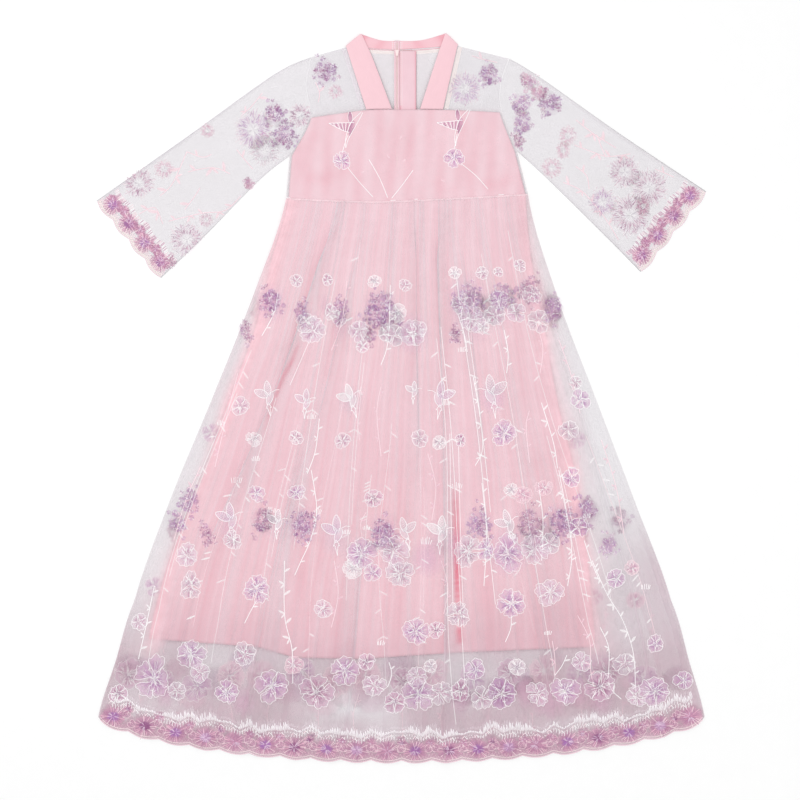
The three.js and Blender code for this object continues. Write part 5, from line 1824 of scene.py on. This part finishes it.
class NeckBandOperator(bpy.types.Operator):
    """Neck band: two folded strips that meet at the zip"""

    bl_idname = "hanfu.neck_band"
    bl_label = "Neck band"

    def execute(self, context):
        material = finish_of("neck band satin")
        for name, side in SIDES.items():
            grid = neck_band_grid(side)
            rows, around = grid.shape[:2]
            GRIDS[f"band_{name}"] = grid
            faces = quads(rows, around, wrap=True)
            ends = []
            for row in (0, rows - 1):
                first = row * around
                half = around // 2
                k = np.arange(half - 1)
                cap = np.stack([first + k, first + k + 1, first + (around - 2 - k),
                                first + (around - 1 - k)], -1)
                ends.append(cap if row == 0 else cap[:, ::-1])
            faces = np.concatenate([faces, *ends])
            centre = grid.mean(axis=1, keepdims=True)
            along = np.concatenate([[0], np.cumsum(np.linalg.norm(np.diff(centre[:, 0], axis=0), axis=1))])
            offset = np.linalg.norm(grid[:, :, :2] - grid[:, :1, :2], axis=-1)
            uv = np.stack([offset, np.broadcast_to(along[:, None], offset.shape)], -1) / 1000
            # painted shade: deeper pink on the part behind the neck, most just behind the shoulder and at the
            # nape, and along the turn over the shoulder
            shade = np.zeros((rows, around))
            turned = BAND_FRONT_ROWS + BAND_TURN_ROWS
            behind = np.linspace(0, 1, BAND_BACK_ROWS)[:, None]
            shoulder, nape = np.exp(-(((behind - 0.1) / 0.12) ** 2)), np.exp(-(((behind
                                                                                 - 0.62) / 0.1) ** 2))
            shade[turned:] = 0.12 + 0.38 * shoulder + 0.2 * nape
            shade[turned - 5 : turned] = 0.45
            piece = new_piece(f"neck_band_satin_{name}", grid.reshape(-1, 3), faces, material, uv,
                              {"crease": shade})
            outward_faces(piece)
            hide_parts(f"neck_band_{name}")
        return {"FINISHED"}


def outward_faces(piece):
    """Makes a closed mesh's faces look out."""
    shell = bmesh.new()
    shell.from_mesh(piece.data)
    bmesh.ops.recalc_face_normals(shell, faces=shell.faces)
    shell.to_mesh(piece.data)
    shell.free()


def lining_glow(grid):
    """Painted light: how much of the lining's pink light, spread through the net, the net beside it shows;
    most at the lining's side edges.
    """
    x, y = grid[..., 0], grid[..., 1]
    outside = np.maximum(np.interp(y, SATIN_SEAM_Y, SATIN_SEAM_LEFT) - x,
                         x - np.interp(y, SATIN_SEAM_Y, SATIN_SEAM_RIGHT))
    near = (0.5 * (1 - smooth(outside, 0, 16)) + 0.7 * (1 - smooth(outside, -4, 52))) * smooth(outside, -30,
                                                                                               -2)
    return near * smooth(y, -400, -370) * (0.75 + 0.35 * ripple(x / 22, y / 50, 91))


def hem_blush(grid, dense):
    """The net's values for a skirt: pinker and denser towards the hem, in uneven patches."""
    x, y = grid[..., 0], grid[..., 1]
    u, v = shares(dense.shape[1], dense.shape[0])
    low = smooth(v, mix(0.68, 0.5, smooth(u, 0.5, 1)), 0.88)
    patches = sum(change * np.exp(-(((x - px) / across) ** 2) - ((y - py) / 22) ** 2) for px, py, across,
                  change in HEM_PATCHES)
    low = low * (0.92 + 0.5 * ripple(x / 30, y / 24, 83) + 0.12 * streaks(u, v, 84) + patches)
    return {"steepness": dense + 0.5 * low, "blush": np.clip(low, 0, 1.6)}


class SkirtOperator(bpy.types.Operator):
    """Skirts: gathered net over an A-shaped lining, front and back"""

    bl_idname = "hanfu.skirts"
    bl_label = "Skirts"

    def execute(self, context):
        satin = finish_of("pink satin")
        net = finish_of("embroidered net cloth")
        thick = context.scene.hanfu_sizes.satin_thickness * 1000

        def net_back(spot, u, v):
            inside = smooth(from_side(net_skirt, u, v), 0, CROWN_RUN)
            return 0.45 + back_lift(spot[..., 1]) * gather(u, BACK_GATHERS, v) * inside

        grid = cloth_grid(trimmed(net_skirt), net_back, 241, 60)
        GRIDS["skirt_back"] = grid
        cloth("overskirt_net_back", grid, net, ["overskirt_back"],
              0, hem_blush(grid, steepness(grid)))

        def satin_back(spot, u, v):
            return LAYER + 0.5 - 0.5 * smooth(v, 0.96, 1) + back_lift(spot[..., 1])

        grid = cloth_grid(trimmed(satin_skirt), satin_back, 60, 60)
        crease = 0.12 + 0.1 * ripple(grid[..., 0] / 40, grid[..., 1] / 60, 31)
        cloth("underskirt_satin_back", grid, satin, ["underskirt_back"],
              thick, {"crease": crease})

        def satin_front(spot, u, v):
            crown = smooth(from_side(satin_skirt, u, v), 0, CROWN_RUN)
            wave = 0.5 - 0.5 * np.cos(2 * np.pi * SATIN_FOLDS * u)
            folds = SATIN_FOLD_HEIGHT * wave * smooth(v, 0, 0.3)
            droop = 1.2 * smooth(v, 0.96, 1)
            return 2 * LAYER + 0.9 - droop + back_lift(spot[..., 1]) + crown * (SATIN_CROWN + folds)

        grid = cloth_grid(trimmed(satin_skirt), satin_front, *SATIN_GRID)
        u, v = shares(*SATIN_GRID)
        # painted shade: the pink deepens along the creases; it is also deeper lower down and in uneven streaks
        # down the cloth
        crease = creased(grid, SKIRT_CREASES) + 0.1 + 0.1 * smooth(v, 0.2, 0.7) + 0.16 * streaks(u, v, 61)
        cloth("underskirt_satin_front", grid, satin, ["underskirt_front"],
              thick, {"crease": crease})

        grid = cloth_grid(trimmed(net_skirt), net_front_height, *NET_GRID, net_front_push)
        GRIDS["skirt_front"] = grid
        apart = grid[..., 0] - SLOT_X - SLOT_LEAN * (SLOT_TOP - grid[..., 1])
        parted = np.exp(-((apart / SLOT_WIDTH) ** 2)) * smooth(-grid[..., 1], 140,
                                                               230) * (1 - smooth(-grid[..., 1], 340, 370))
        dense = (steepness(grid) + net_density(*shares(*NET_GRID))) * (1 - parted) - 0.55 * parted
        cloth("overskirt_net_front", grid, net, ["overskirt_front"],
              0, hem_blush(grid, dense) | {"glow": lining_glow(grid)})
        return {"FINISHED"}


def inside_level(y):
    """The inside of the back: the satin bodice, then the net yoke, then the band."""
    over_bodice = LAYER * (1 - smooth(y, BODICE_TOP[1][1] + 2, BODICE_TOP[1][1] + 16))
    over_band = (BAND_CLOTH - CLOTH) * smooth(y, NECK_BACK_SEAM - 8, NECK_BACK_SEAM - 1)
    return LAYER + over_bodice + over_band


class ZipOperator(bpy.types.Operator):
    """Zip at the centre back: two tapes, a coil, the guard and the slider"""

    bl_idname = "hanfu.zip"
    bl_label = "Zip"

    def execute(self, context):
        tape = finish_of("zip tape weave")
        wire = context.scene.hanfu_sizes.coil_wire * 1000
        left = CENTRE_BACK - SEAM / 2 - TAPE_WIDTH
        right = CENTRE_BACK + SEAM / 2
        strips = [
            ("zip_tape_cloth_left", "zip_tape_left", left, TAPE_WIDTH, NECK_BACK_TOP, 0.3),
            ("zip_tape_cloth_right", "zip_tape_right", right, TAPE_WIDTH, NECK_BACK_TOP, 0.3),
            ("zip_guard_cloth", "zip_guard", right + TAPE_WIDTH + SEAM, GUARD_WIDTH, GUARD_TOP, 0.4),
        ]
        for name, node, x, width, top, lift in strips:
            y = np.linspace(top, ZIP_FOOT, 160)[:, None]
            u = np.linspace(0, 1, 14)[None, :]
            crown = (1 - (2 * u - 1) ** 4) * 0.25
            z = inside_level(y) + lift + crown
            grid = together(x + width * u, y, z)
            # the tapes and the guard are a deeper pink at their edges, and unevenly along them
            edge = 0.5 * (np.abs(2 * u - 1) ** 6) + 0.1 * ripple(y / 9, u * 3, 41)
            GRIDS[node] = grid
            cloth(name, grid, tape, [node],
                              0.3,
                              {"crease": edge})

        turns = int((NECK_BACK_TOP - 4 - ZIP_FOOT) / COIL_PITCH)
        y = ZIP_FOOT + 2 + np.arange(turns)[:, None, None] * COIL_PITCH
        along = np.linspace(0, 1, 7)[None, :, None]
        around = np.linspace(0, 2 * np.pi, 5)[None, None, :-1]
        x = CENTRE_BACK + 1.7 * np.cos(np.pi * (along * 2))
        ring_y = y + COIL_PITCH * along + wire / 2 * np.cos(around)
        ring_z = inside_level(y) + 0.95 + 0.25 * np.sin(2 * np.pi * along) + wire / 2 * np.sin(around)
        points = together(x + 0 * ring_y, ring_y, ring_z + 0 * ring_y)
        base = np.arange(turns)[:, None, None] * 28
        faces = (quads(7, 4, wrap=True)[None] + base).reshape(-1, 4)
        coil = new_piece("zip_coil", points.reshape(-1, 3), faces, finish_of("zip coil"))
        outward_faces(coil)
        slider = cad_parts["zip_slider"]
        slider.data.materials.clear()
        slider.data.materials.append(finish_of("zip slider enamel"))
        return {"FINISHED"}


class EmbroideryOperator(bpy.types.Operator):
    """Embroidery of the skirt, the sleeves, the yokes and the bodice"""

    bl_idname = "hanfu.embroidery"
    bl_label = "Embroidery"

    def execute(self, context):
        thread = finish_of("embroidery thread")
        front = Stitches(Ground(GRIDS["skirt_front"]), 101)
        for presence, hazes in [(0.62, FAINT_HAZES), (1.0, SKIRT_HAZES)]:
            front.presence = presence
            for haze in hazes:
                front.haze(*haze)
        lay_motifs(front, SKIRT_BLOSSOMS, SKIRT_CLUSTERS, SKIRT_BIRDS, SKIRT_VINES)
        lay_stems(front, 18, 71)
        for places in SKIRT_LINES:
            front.thread(drawn(places, 40), mix(WHITE, BLUSH, 0.4), 1.2, 0.4)
        lay_hem(front)
        front.piece("embroidery_skirt_front", thread, "embroidered_net")

        back = Stitches(Ground(GRIDS["skirt_back"]), 102)
        lay_back(back)
        lay_hem(back, 5.0)
        back.piece("embroidery_skirt_back", thread, "embroidered_net")

        for name, side in SIDES.items():
            sleeve = Stitches(Ground(GRIDS[f"sleeve_{name}"]), 103)
            lay_motifs(sleeve, [], SLEEVE_CLUSTERS[name], [], SLEEVE_VINES[name], SLEEVE_WREATHS[name])
            lay_cuff(sleeve, side)
            sleeve.piece(f"embroidery_sleeve_{name}", thread, "embroidered_net")
            yoke = Stitches(Ground(GRIDS[f"yoke_front_{name}"]), 104)
            lay_motifs(yoke, [], YOKE_CLUSTERS[name], [], YOKE_VINES[name], YOKE_WREATHS[name])
            yoke.piece(f"embroidery_yoke_{name}", thread, "embroidered_net")

        bodice = Stitches(Ground(GRIDS["bodice_front"]), 105)
        lay_motifs(bodice, BODICE_BLOSSOMS, [], BODICE_BIRDS, [])
        for places in BODICE_STEMS:
            bodice.thread(drawn(places, 24), WHITE, 1.2, 0.35)
        for x, y, turn in [(-2, 390, 60), (-21, 367, -50), (2, 356, 40), (-60, 340, 20), (60, 330, -30)]:
            way = 7 * heading(np.radians(turn))
            bodice.leaf(np.array([x, y]), np.array([x, y]) + way, 3.0, "blush")
        bodice.piece("embroidery_bodice", thread, "embroidered_net")
        return {"FINISHED"}


def lay_motifs(stitches, blossoms, clusters, birds, vines, wreaths=()):
    """Lays the tables' motifs, the vines first."""
    for vine in vines:
        stitches.vine(vine.places, vine.shade, vine.leaf)
    for cluster in clusters:
        stitches.cluster(*cluster)
    for blossom in blossoms:
        stitches.blossom(*blossom)
    for wreath in wreaths:
        stitches.wreath(*wreath)
    for bird in birds:
        stitches.bird(*bird)


def lay_hem(stitches, lift=0.0):
    """The hem's border: a faint strip, a cord and zigzags on the scallops, a burst in each scallop with
    petals between, and a crown of white grass strokes above."""
    u = np.linspace(0.004, 0.996, 801)
    edge = net_hem(u) + [0, lift + 0.6]
    stitches.thread(edge, mix(BLUSH, MAUVE, 0.25), 1.3, 0.35, 0.3)
    stitches.thread(edge + [0, 3.4], mix(BLUSH, CREAM, 0.5), 0.9, 0.35, 0.3)
    depth = np.array([0.0, 5.0, 10.0])
    strip = edge[:, None, :] + depth[None, :, None] * np.array([0, 1])
    uv = together(u[:, None] * 900, depth)
    stitches.lay(strip, 0.15, mix(MAUVE, PLUM, 0.1), np.array([0.5, 0.6, 0.5]), uv)
    for low, high, count, tone in [(1.0, 5.5, 560, CREAM), (4.0, 12.0, 380, BLUSH),
                                   (9.0, 20.0, 300, MAUVE)]:
        zig = net_hem(np.linspace(0.006, 0.994, count)) + [0, lift]
        zig[:, 1] += mix(low, high,
                         np.where(np.arange(count) % 2, stitches.dice.uniform(0.4, 1, count), 0.0))
        stitches.presence = 0.5
        stitches.zigzag(zig, tone, 0.8, 0.3)
    stitches.presence = 0.8
    for k in range(HEM_SCALLOPS):
        middle = net_hem(np.array([(k + 0.5) / HEM_SCALLOPS]))[0] + [stitches.dice.uniform(-3, 3), lift]
        tone = [PURPLE, PLUM, PURPLE, LAVENDER, MAUVE][k % 5]
        for side in (-1, 1):
            if (k == 0 and side < 0) or (k == HEM_SCALLOPS - 1 and side > 0):
                continue
            for turn in (0.5, 1.1):
                root = middle + [side * 15, 17]
                tip = root + 13 * np.array([side * np.cos(turn), np.sin(turn)])
                stitches.petal(root, tip, 8.5, mix(MAUVE, PLUM, 0.55), MAUVE, 0.8)
                stitches.petal_outline(root, tip, 8, BLUSH, 1.5, 9, 1.0)
        stitches.presence = 0.95
        stitches.burst(middle[0], middle[1] + 19, 18, tone)
        stitches.presence = 0.8
        if k < HEM_SCALLOPS - 1:
            stitches.burst(middle[0] + 22, middle[1] + 30, 8, PLUM if k % 3 == 0 else MAUVE, 0.8, 12)
    stitches.presence = 1.0
    at = np.linspace(0.022, 0.978, 430)
    crown = 5 * np.abs(np.sin(1.5 * HEM_SCALLOPS * np.pi * at)) + 3 * np.sin(41 * at)
    foot = net_hem(at) + np.stack([0 * at, lift + 38 + crown], -1)
    shown = smooth(np.sin(47 * at + 1) + 0.6 * np.sin(111 * at), -0.9, 0.3)
    tall = stitches.dice.uniform(5, 13, len(at)) * (0.3 + 0.7 * shown)
    tip = foot + np.stack([stitches.dice.uniform(-1.5, 1.5, len(at)), tall], -1)
    stitches.thread(np.stack([foot, tip], 1), WHITE, 1.2, 0.4)
    stitches.thread(np.stack([tip, foot + [2.2, 0.4]], 1), PEARL, 1.0, 0.4)
    stitches.thread(np.stack([foot[::2] + [1, -5], mix(foot, tip, 0.4)[::2] + [1, -5]], 1), WHITE, 1.0, 0.4)
    lower = foot[1::2] - np.stack([0 * at[1::2], 9 + 2 * np.sin(67 * at[1::2])], -1)
    rows = smooth(np.sin(59 * at[1::2]) + 0.5 * np.sin(133 * at[1::2]), -0.6, 0.4)
    stitches.presence = 0.85
    stitches.thread(np.stack([lower, lower + np.stack([0 * rows + 0.8, 2 + 5 * rows], -1)], 1), WHITE, 1.2,
                    0.4)
    stitches.presence = 1.0
    tuft = foot[::9] - [0, 3]
    stitches.thread(np.stack([tuft, tuft + [4, -4]], 1), WHITE, 1.1, 0.4)
    stitches.thread(np.stack([tuft, tuft + [-4, -4]], 1), BLUSH, 1.1, 0.4)


def lay_stems(stitches, count, seed):
    """Long embroidered stems that follow the gathers, some doubled, with leaves and tufts beside them."""
    dice = np.random.default_rng(seed)
    for k in range(count):
        share = (k + 0.5 + dice.uniform(-0.35, 0.35)) / count
        top, foot = dice.uniform(0.04, 0.5), dice.uniform(0.62, 0.95)
        v = np.linspace(top, foot, 30)
        u = mix(0.03, 0.97, share) + dice.uniform(0.004,
                                                  0.012) * np.sin(dice.uniform(6, 14) * v
                                                                  + dice.uniform(0, 6))
        line = net_skirt(u, v)
        colour = [WHITE, BLUSH, WHITE, WHITE][k % 4]
        stitches.presence = dice.uniform(0.45, 0.9)
        stitches.thread(line, colour, 1.1, 0.4)
        if k % 3 == 0:
            stitches.thread(line[4:22] + [dice.uniform(4, 8), 0], colour, 1.1, 0.4)
        for at in dice.integers(1, 28, 8):
            way = line[at + 1] - line[at]
            way = way / np.linalg.norm(way)
            hand = dice.choice([-1, 1])
            out = np.array([way[1], -way[0]]) * hand
            tip = line[at] + (out * 0.8 + way * 0.5) * dice.uniform(9, 16)
            stitches.leaf(line[at], tip, 3.0, "white")
        spot = line[dice.integers(3, 27)]
        stitches.presence = 1.0
        stitches.tuft(spot[0] + dice.uniform(-8, 8), spot[1], dice.uniform(8, 13))
    stitches.presence = 1.0


def lay_cuff(stitches, side):
    """The cuff's border, along the cuff's own scallops."""
    area = trimmed(sleeve_area(side))
    u = np.linspace(0.01, 0.99, 121)

    def inward(share, depth):
        """Places at a depth in from the cuff, along the sleeve's own lines."""
        end = area(share, np.ones_like(share))
        back = area(share, np.full_like(share, 0.9))
        way = (back - end) / np.linalg.norm(back - end, axis=-1, keepdims=True)
        return end + way * depth

    stitches.thread(inward(u, 0.8), mix(BLUSH, MAUVE, 0.25), 1.3, 0.35, 0.3)
    stitches.thread(inward(u, 4.5), mix(BLUSH, CREAM, 0.5), 0.9, 0.35)
    depth = np.array([0.4, 6.0, 12.0])
    strip = np.stack([inward(u, d) for d in depth], 1)
    uv = together(u[:, None] * 150, depth)
    stitches.lay(strip, 0.15, mix(BLUSH, CREAM, 0.4), np.array([0.4, 0.35, 0.0]), uv)
    for low, high, count, tone in [(1.0, 5.5, 110, CREAM), (5.0, 12.0, 80, BLUSH)]:
        steps = np.linspace(0.01, 0.99, count)
        zig = np.where((np.arange(count) % 2)[:, None], inward(steps, low), inward(steps, high))
        stitches.zigzag(zig, tone, 0.8, 0.4)
    for k in range(CUFF_SCALLOPS):
        middle = inward(np.array([(k + 0.5) / CUFF_SCALLOPS]), 19)[0]
        stitches.burst(middle[0], middle[1], 15, [PURPLE, mix(PURPLE, PLUM, 0.5)][k % 2], 1.0)
        for offset in (-0.12, -0.04, 0.04, 0.12):
            share = np.array([(k + 0.5) / CUFF_SCALLOPS + offset])
            if 0.05 < share[0] < 0.95:
                spot = inward(share, 22)[0]
                stitches.burst(spot[0], spot[1], 8, MAUVE, 1.0, 12)
    at = np.linspace(0.03, 0.97, 90)
    foot, crest = inward(at, 31), inward(at, 38)
    tone = np.stack([WHITE, MAUVE, BLUSH])[stitches.dice.integers(3, size=len(at))]
    stitches.thread(np.stack([foot, crest], 1), tone[:, None, None, :], 1.0, 0.4)


def lay_back(stitches):
    """The back skirt's rows, like the front's: a loop of bands with flowers, clusters and vines between."""
    dice = np.random.default_rng(7)
    for x in np.arange(-410, 420, 34):
        centre = np.array([x + dice.uniform(-12, 12), dice.uniform(-468, -388)])
        tone = [MAUVE, ROSE, PLUM, LAVENDER][dice.integers(4)]
        size = dice.uniform(14, 26)
        stitches.disc(centre, np.array([0.05, 0.4, 0.8, 1.1]) * size, np.stack([tone] * 4),
                      [0.5, 0.5, 0.35, 0.0], (1.2, 1))
    bands = [(140, "cluster"), (-55, "blossom"), (-190, "cluster"), (-290, "blossom"), (-420, "large")]
    for y, kind in bands:
        left = np.interp(y, NET_SEAM_Y, NET_SEAM_LEFT) + 24
        right = np.interp(y, NET_SEAM_Y, NET_SEAM_RIGHT) - 24
        for x in np.arange(left, right, 52 if kind == "large" else 60):
            shade = ["lavender", "plum", "rose", "rose"][dice.integers(4)]
            spot = (x + dice.uniform(-8, 8), y + dice.uniform(-14, 14))
            if kind == "cluster":
                stitches.cluster(*spot, 30, 32, dice.uniform(-20, 20), shade, 8)
            else:
                size = 40 if kind == "large" else 26
                stitches.blossom(*spot, size, dice.uniform(0, 70), shade, 1.0, 1.0)
        for x in np.arange(left + 20, right, 66):
            sway = dice.uniform(-10, 10)
            stitches.vine([(x, y - 20), (x + sway, y - 55), (x + sway * 0.4, y - 90)], "rose", 8)


class SeamOperator(bpy.types.Operator):
    """Sewing: the waist, the neck's seam allowances and the stitching along the zip"""

    bl_idname = "hanfu.sewing"
    bl_label = "Sewing"

    def execute(self, context):
        thread = finish_of("embroidery thread")
        pitch = context.scene.hanfu_sizes.seam_stitch * 1000
        waist = Stitches(Ground(GRIDS["skirt_front"], GRIDS["bodice_front"]), 110)
        line = waist_edge(np.linspace(0.004, 0.996, 240))
        waist.thread(line, linear(246, 214, 221), 3.2, 0.0, 0.1)
        for x, length in [(-172, 6), (-16, 8), (146, 8), (20, 5)]:
            spot = waist_edge(np.array([share_at(waist_edge, x), share_at(waist_edge, x + length)]))
            waist.thread(spot + [0, 2], WHITE, 1.2, 0.5)
        waist.piece("waist_stitches", thread, "satin")

        for name, side in SIDES.items():
            yoke = Stitches(Ground(GRIDS[f"yoke_front_{name}"]), 111)
            out = -1 if name == "left" else 1
            foot = yoke_front_area(side)(np.ones((60, 1)), np.linspace(0.02, 0.985, 60)[:, None])[:, 0]
            depth = np.array([0.8, 4.0, 7.2])
            strip = foot[:, None, :] + depth[None, :, None] * np.array([out, 0])
            uv = together(np.linspace(0, 110, 60)[:, None], depth)
            tone = CREAM if name == "right" else PEARL
            yoke.lay(strip, 0.2, tone, 0.75 if name == "right" else 0.5, uv)
            sew(yoke, foot + [out * 6.4, 0], pitch, tone)
            yoke.piece(f"neck_seam_{name}", thread, "neck_band")

            behind = Stitches(Ground(GRIDS[f"yoke_back_{name}"]), 112)
            inner = np.array(side["band_back_top"]) * [1, 0] + [0, NECK_BACK_SEAM]
            start = np.array([CENTRE_BACK + out * 1.0, NECK_BACK_SEAM])
            base = mix(np.array(side["neck_base"]), inner, 0.25)
            seam = drawn([start, inner + [0, 0.6], base], 40)
            depth = np.array([-1.0, -3.5, -6.5])
            strip = seam[:, None, :] + depth[None, :, None] * np.array([0, 1])
            uv = together(np.linspace(0, 70, 40)[:, None], depth)
            behind.lay(strip, 0.3, CREAM, 0.8, uv)
            behind.thread(seam - [0, 0.6], linear(226, 150, 166), 1.0, 0.5)
            behind.piece(f"back_neck_seam_{name}", thread, "neck_band")

        under = ["band_right", "band_left", "zip_tape_left", "zip_tape_right", "zip_guard"]
        band = Stitches(Ground(*(GRIDS[key] for key in under)), 113)
        for x in (-12.6, -10.4, -0.8, 1.4):
            line = np.stack([np.full(90, float(x)), np.linspace(NECK_BACK_TOP - 2, 438, 90)], -1)
            sew(band, line, pitch, WHITE, 0.8)
        for y in (536.5, 532.5, 528.5):
            line = np.stack([np.linspace(-14, 22, 30), np.full(30, float(y))], -1)
            sew(band, line, pitch, BLUSH, 0.7)
        band.piece("zip_stitches", thread, "zip_cloth")
        return {"FINISHED"}


def sew(stitches, line, pitch, colour, width=0.6):
    """A running stitch along a line: stitches of 0.7 of the pitch, the same gap apart."""
    steps = np.linalg.norm(np.diff(line, axis=0), axis=1)
    run = np.concatenate([[0], np.cumsum(steps)])
    start = np.arange(0, run[-1] - pitch, pitch)
    ends = start[:, None] + np.array([0, 0.35, 0.7]) * pitch
    places = np.stack([np.interp(ends, run, line[:, 0]), np.interp(ends, run, line[:, 1])], -1)
    stitches.thread(places, colour, width, 0.2, 0.2)


class HanfuPanel(bpy.types.Panel):
    """The dress's pieces and settings"""

    bl_idname = "VIEW3D_PT_hanfu"
    bl_label = "Hanfu Dress"
    bl_space_type = "VIEW_3D"
    bl_region_type = "UI"
    bl_category = "Hanfu"

    def draw(self, context):
        layout = self.layout
        for kind in OPERATORS:
            layout.operator(kind.bl_idname)
        for group in (context.scene.hanfu_colours, context.scene.hanfu_sizes):
            for key in group.bl_rna.properties.keys():
                if key not in ("rna_type", "name"):
                    layout.prop(group, key)


OPERATORS = [
    StageOperator,
    BodiceOperator,
    YokeOperator,
    SleeveOperator,
    NeckBandOperator,
    SkirtOperator,
    ZipOperator,
    EmbroideryOperator,
    SeamOperator,
]
CLASSES = [HanfuColours, HanfuSizes, *OPERATORS, HanfuPanel]


def register():
    for kind in CLASSES:
        bpy.utils.register_class(kind)
    bpy.types.Scene.hanfu_colours = bpy.props.PointerProperty(type=HanfuColours)
    bpy.types.Scene.hanfu_sizes = bpy.props.PointerProperty(type=HanfuSizes)


def unregister():
    del bpy.types.Scene.hanfu_sizes
    del bpy.types.Scene.hanfu_colours
    for kind in reversed(CLASSES):
        bpy.utils.unregister_class(kind)


def main():
    """Registers the add-on and makes every piece in order."""
    register()
    for kind in OPERATORS:
        family, action = kind.bl_idname.split(".")
        getattr(getattr(bpy.ops, family), action)()


if __name__ == "__main__":
    main()
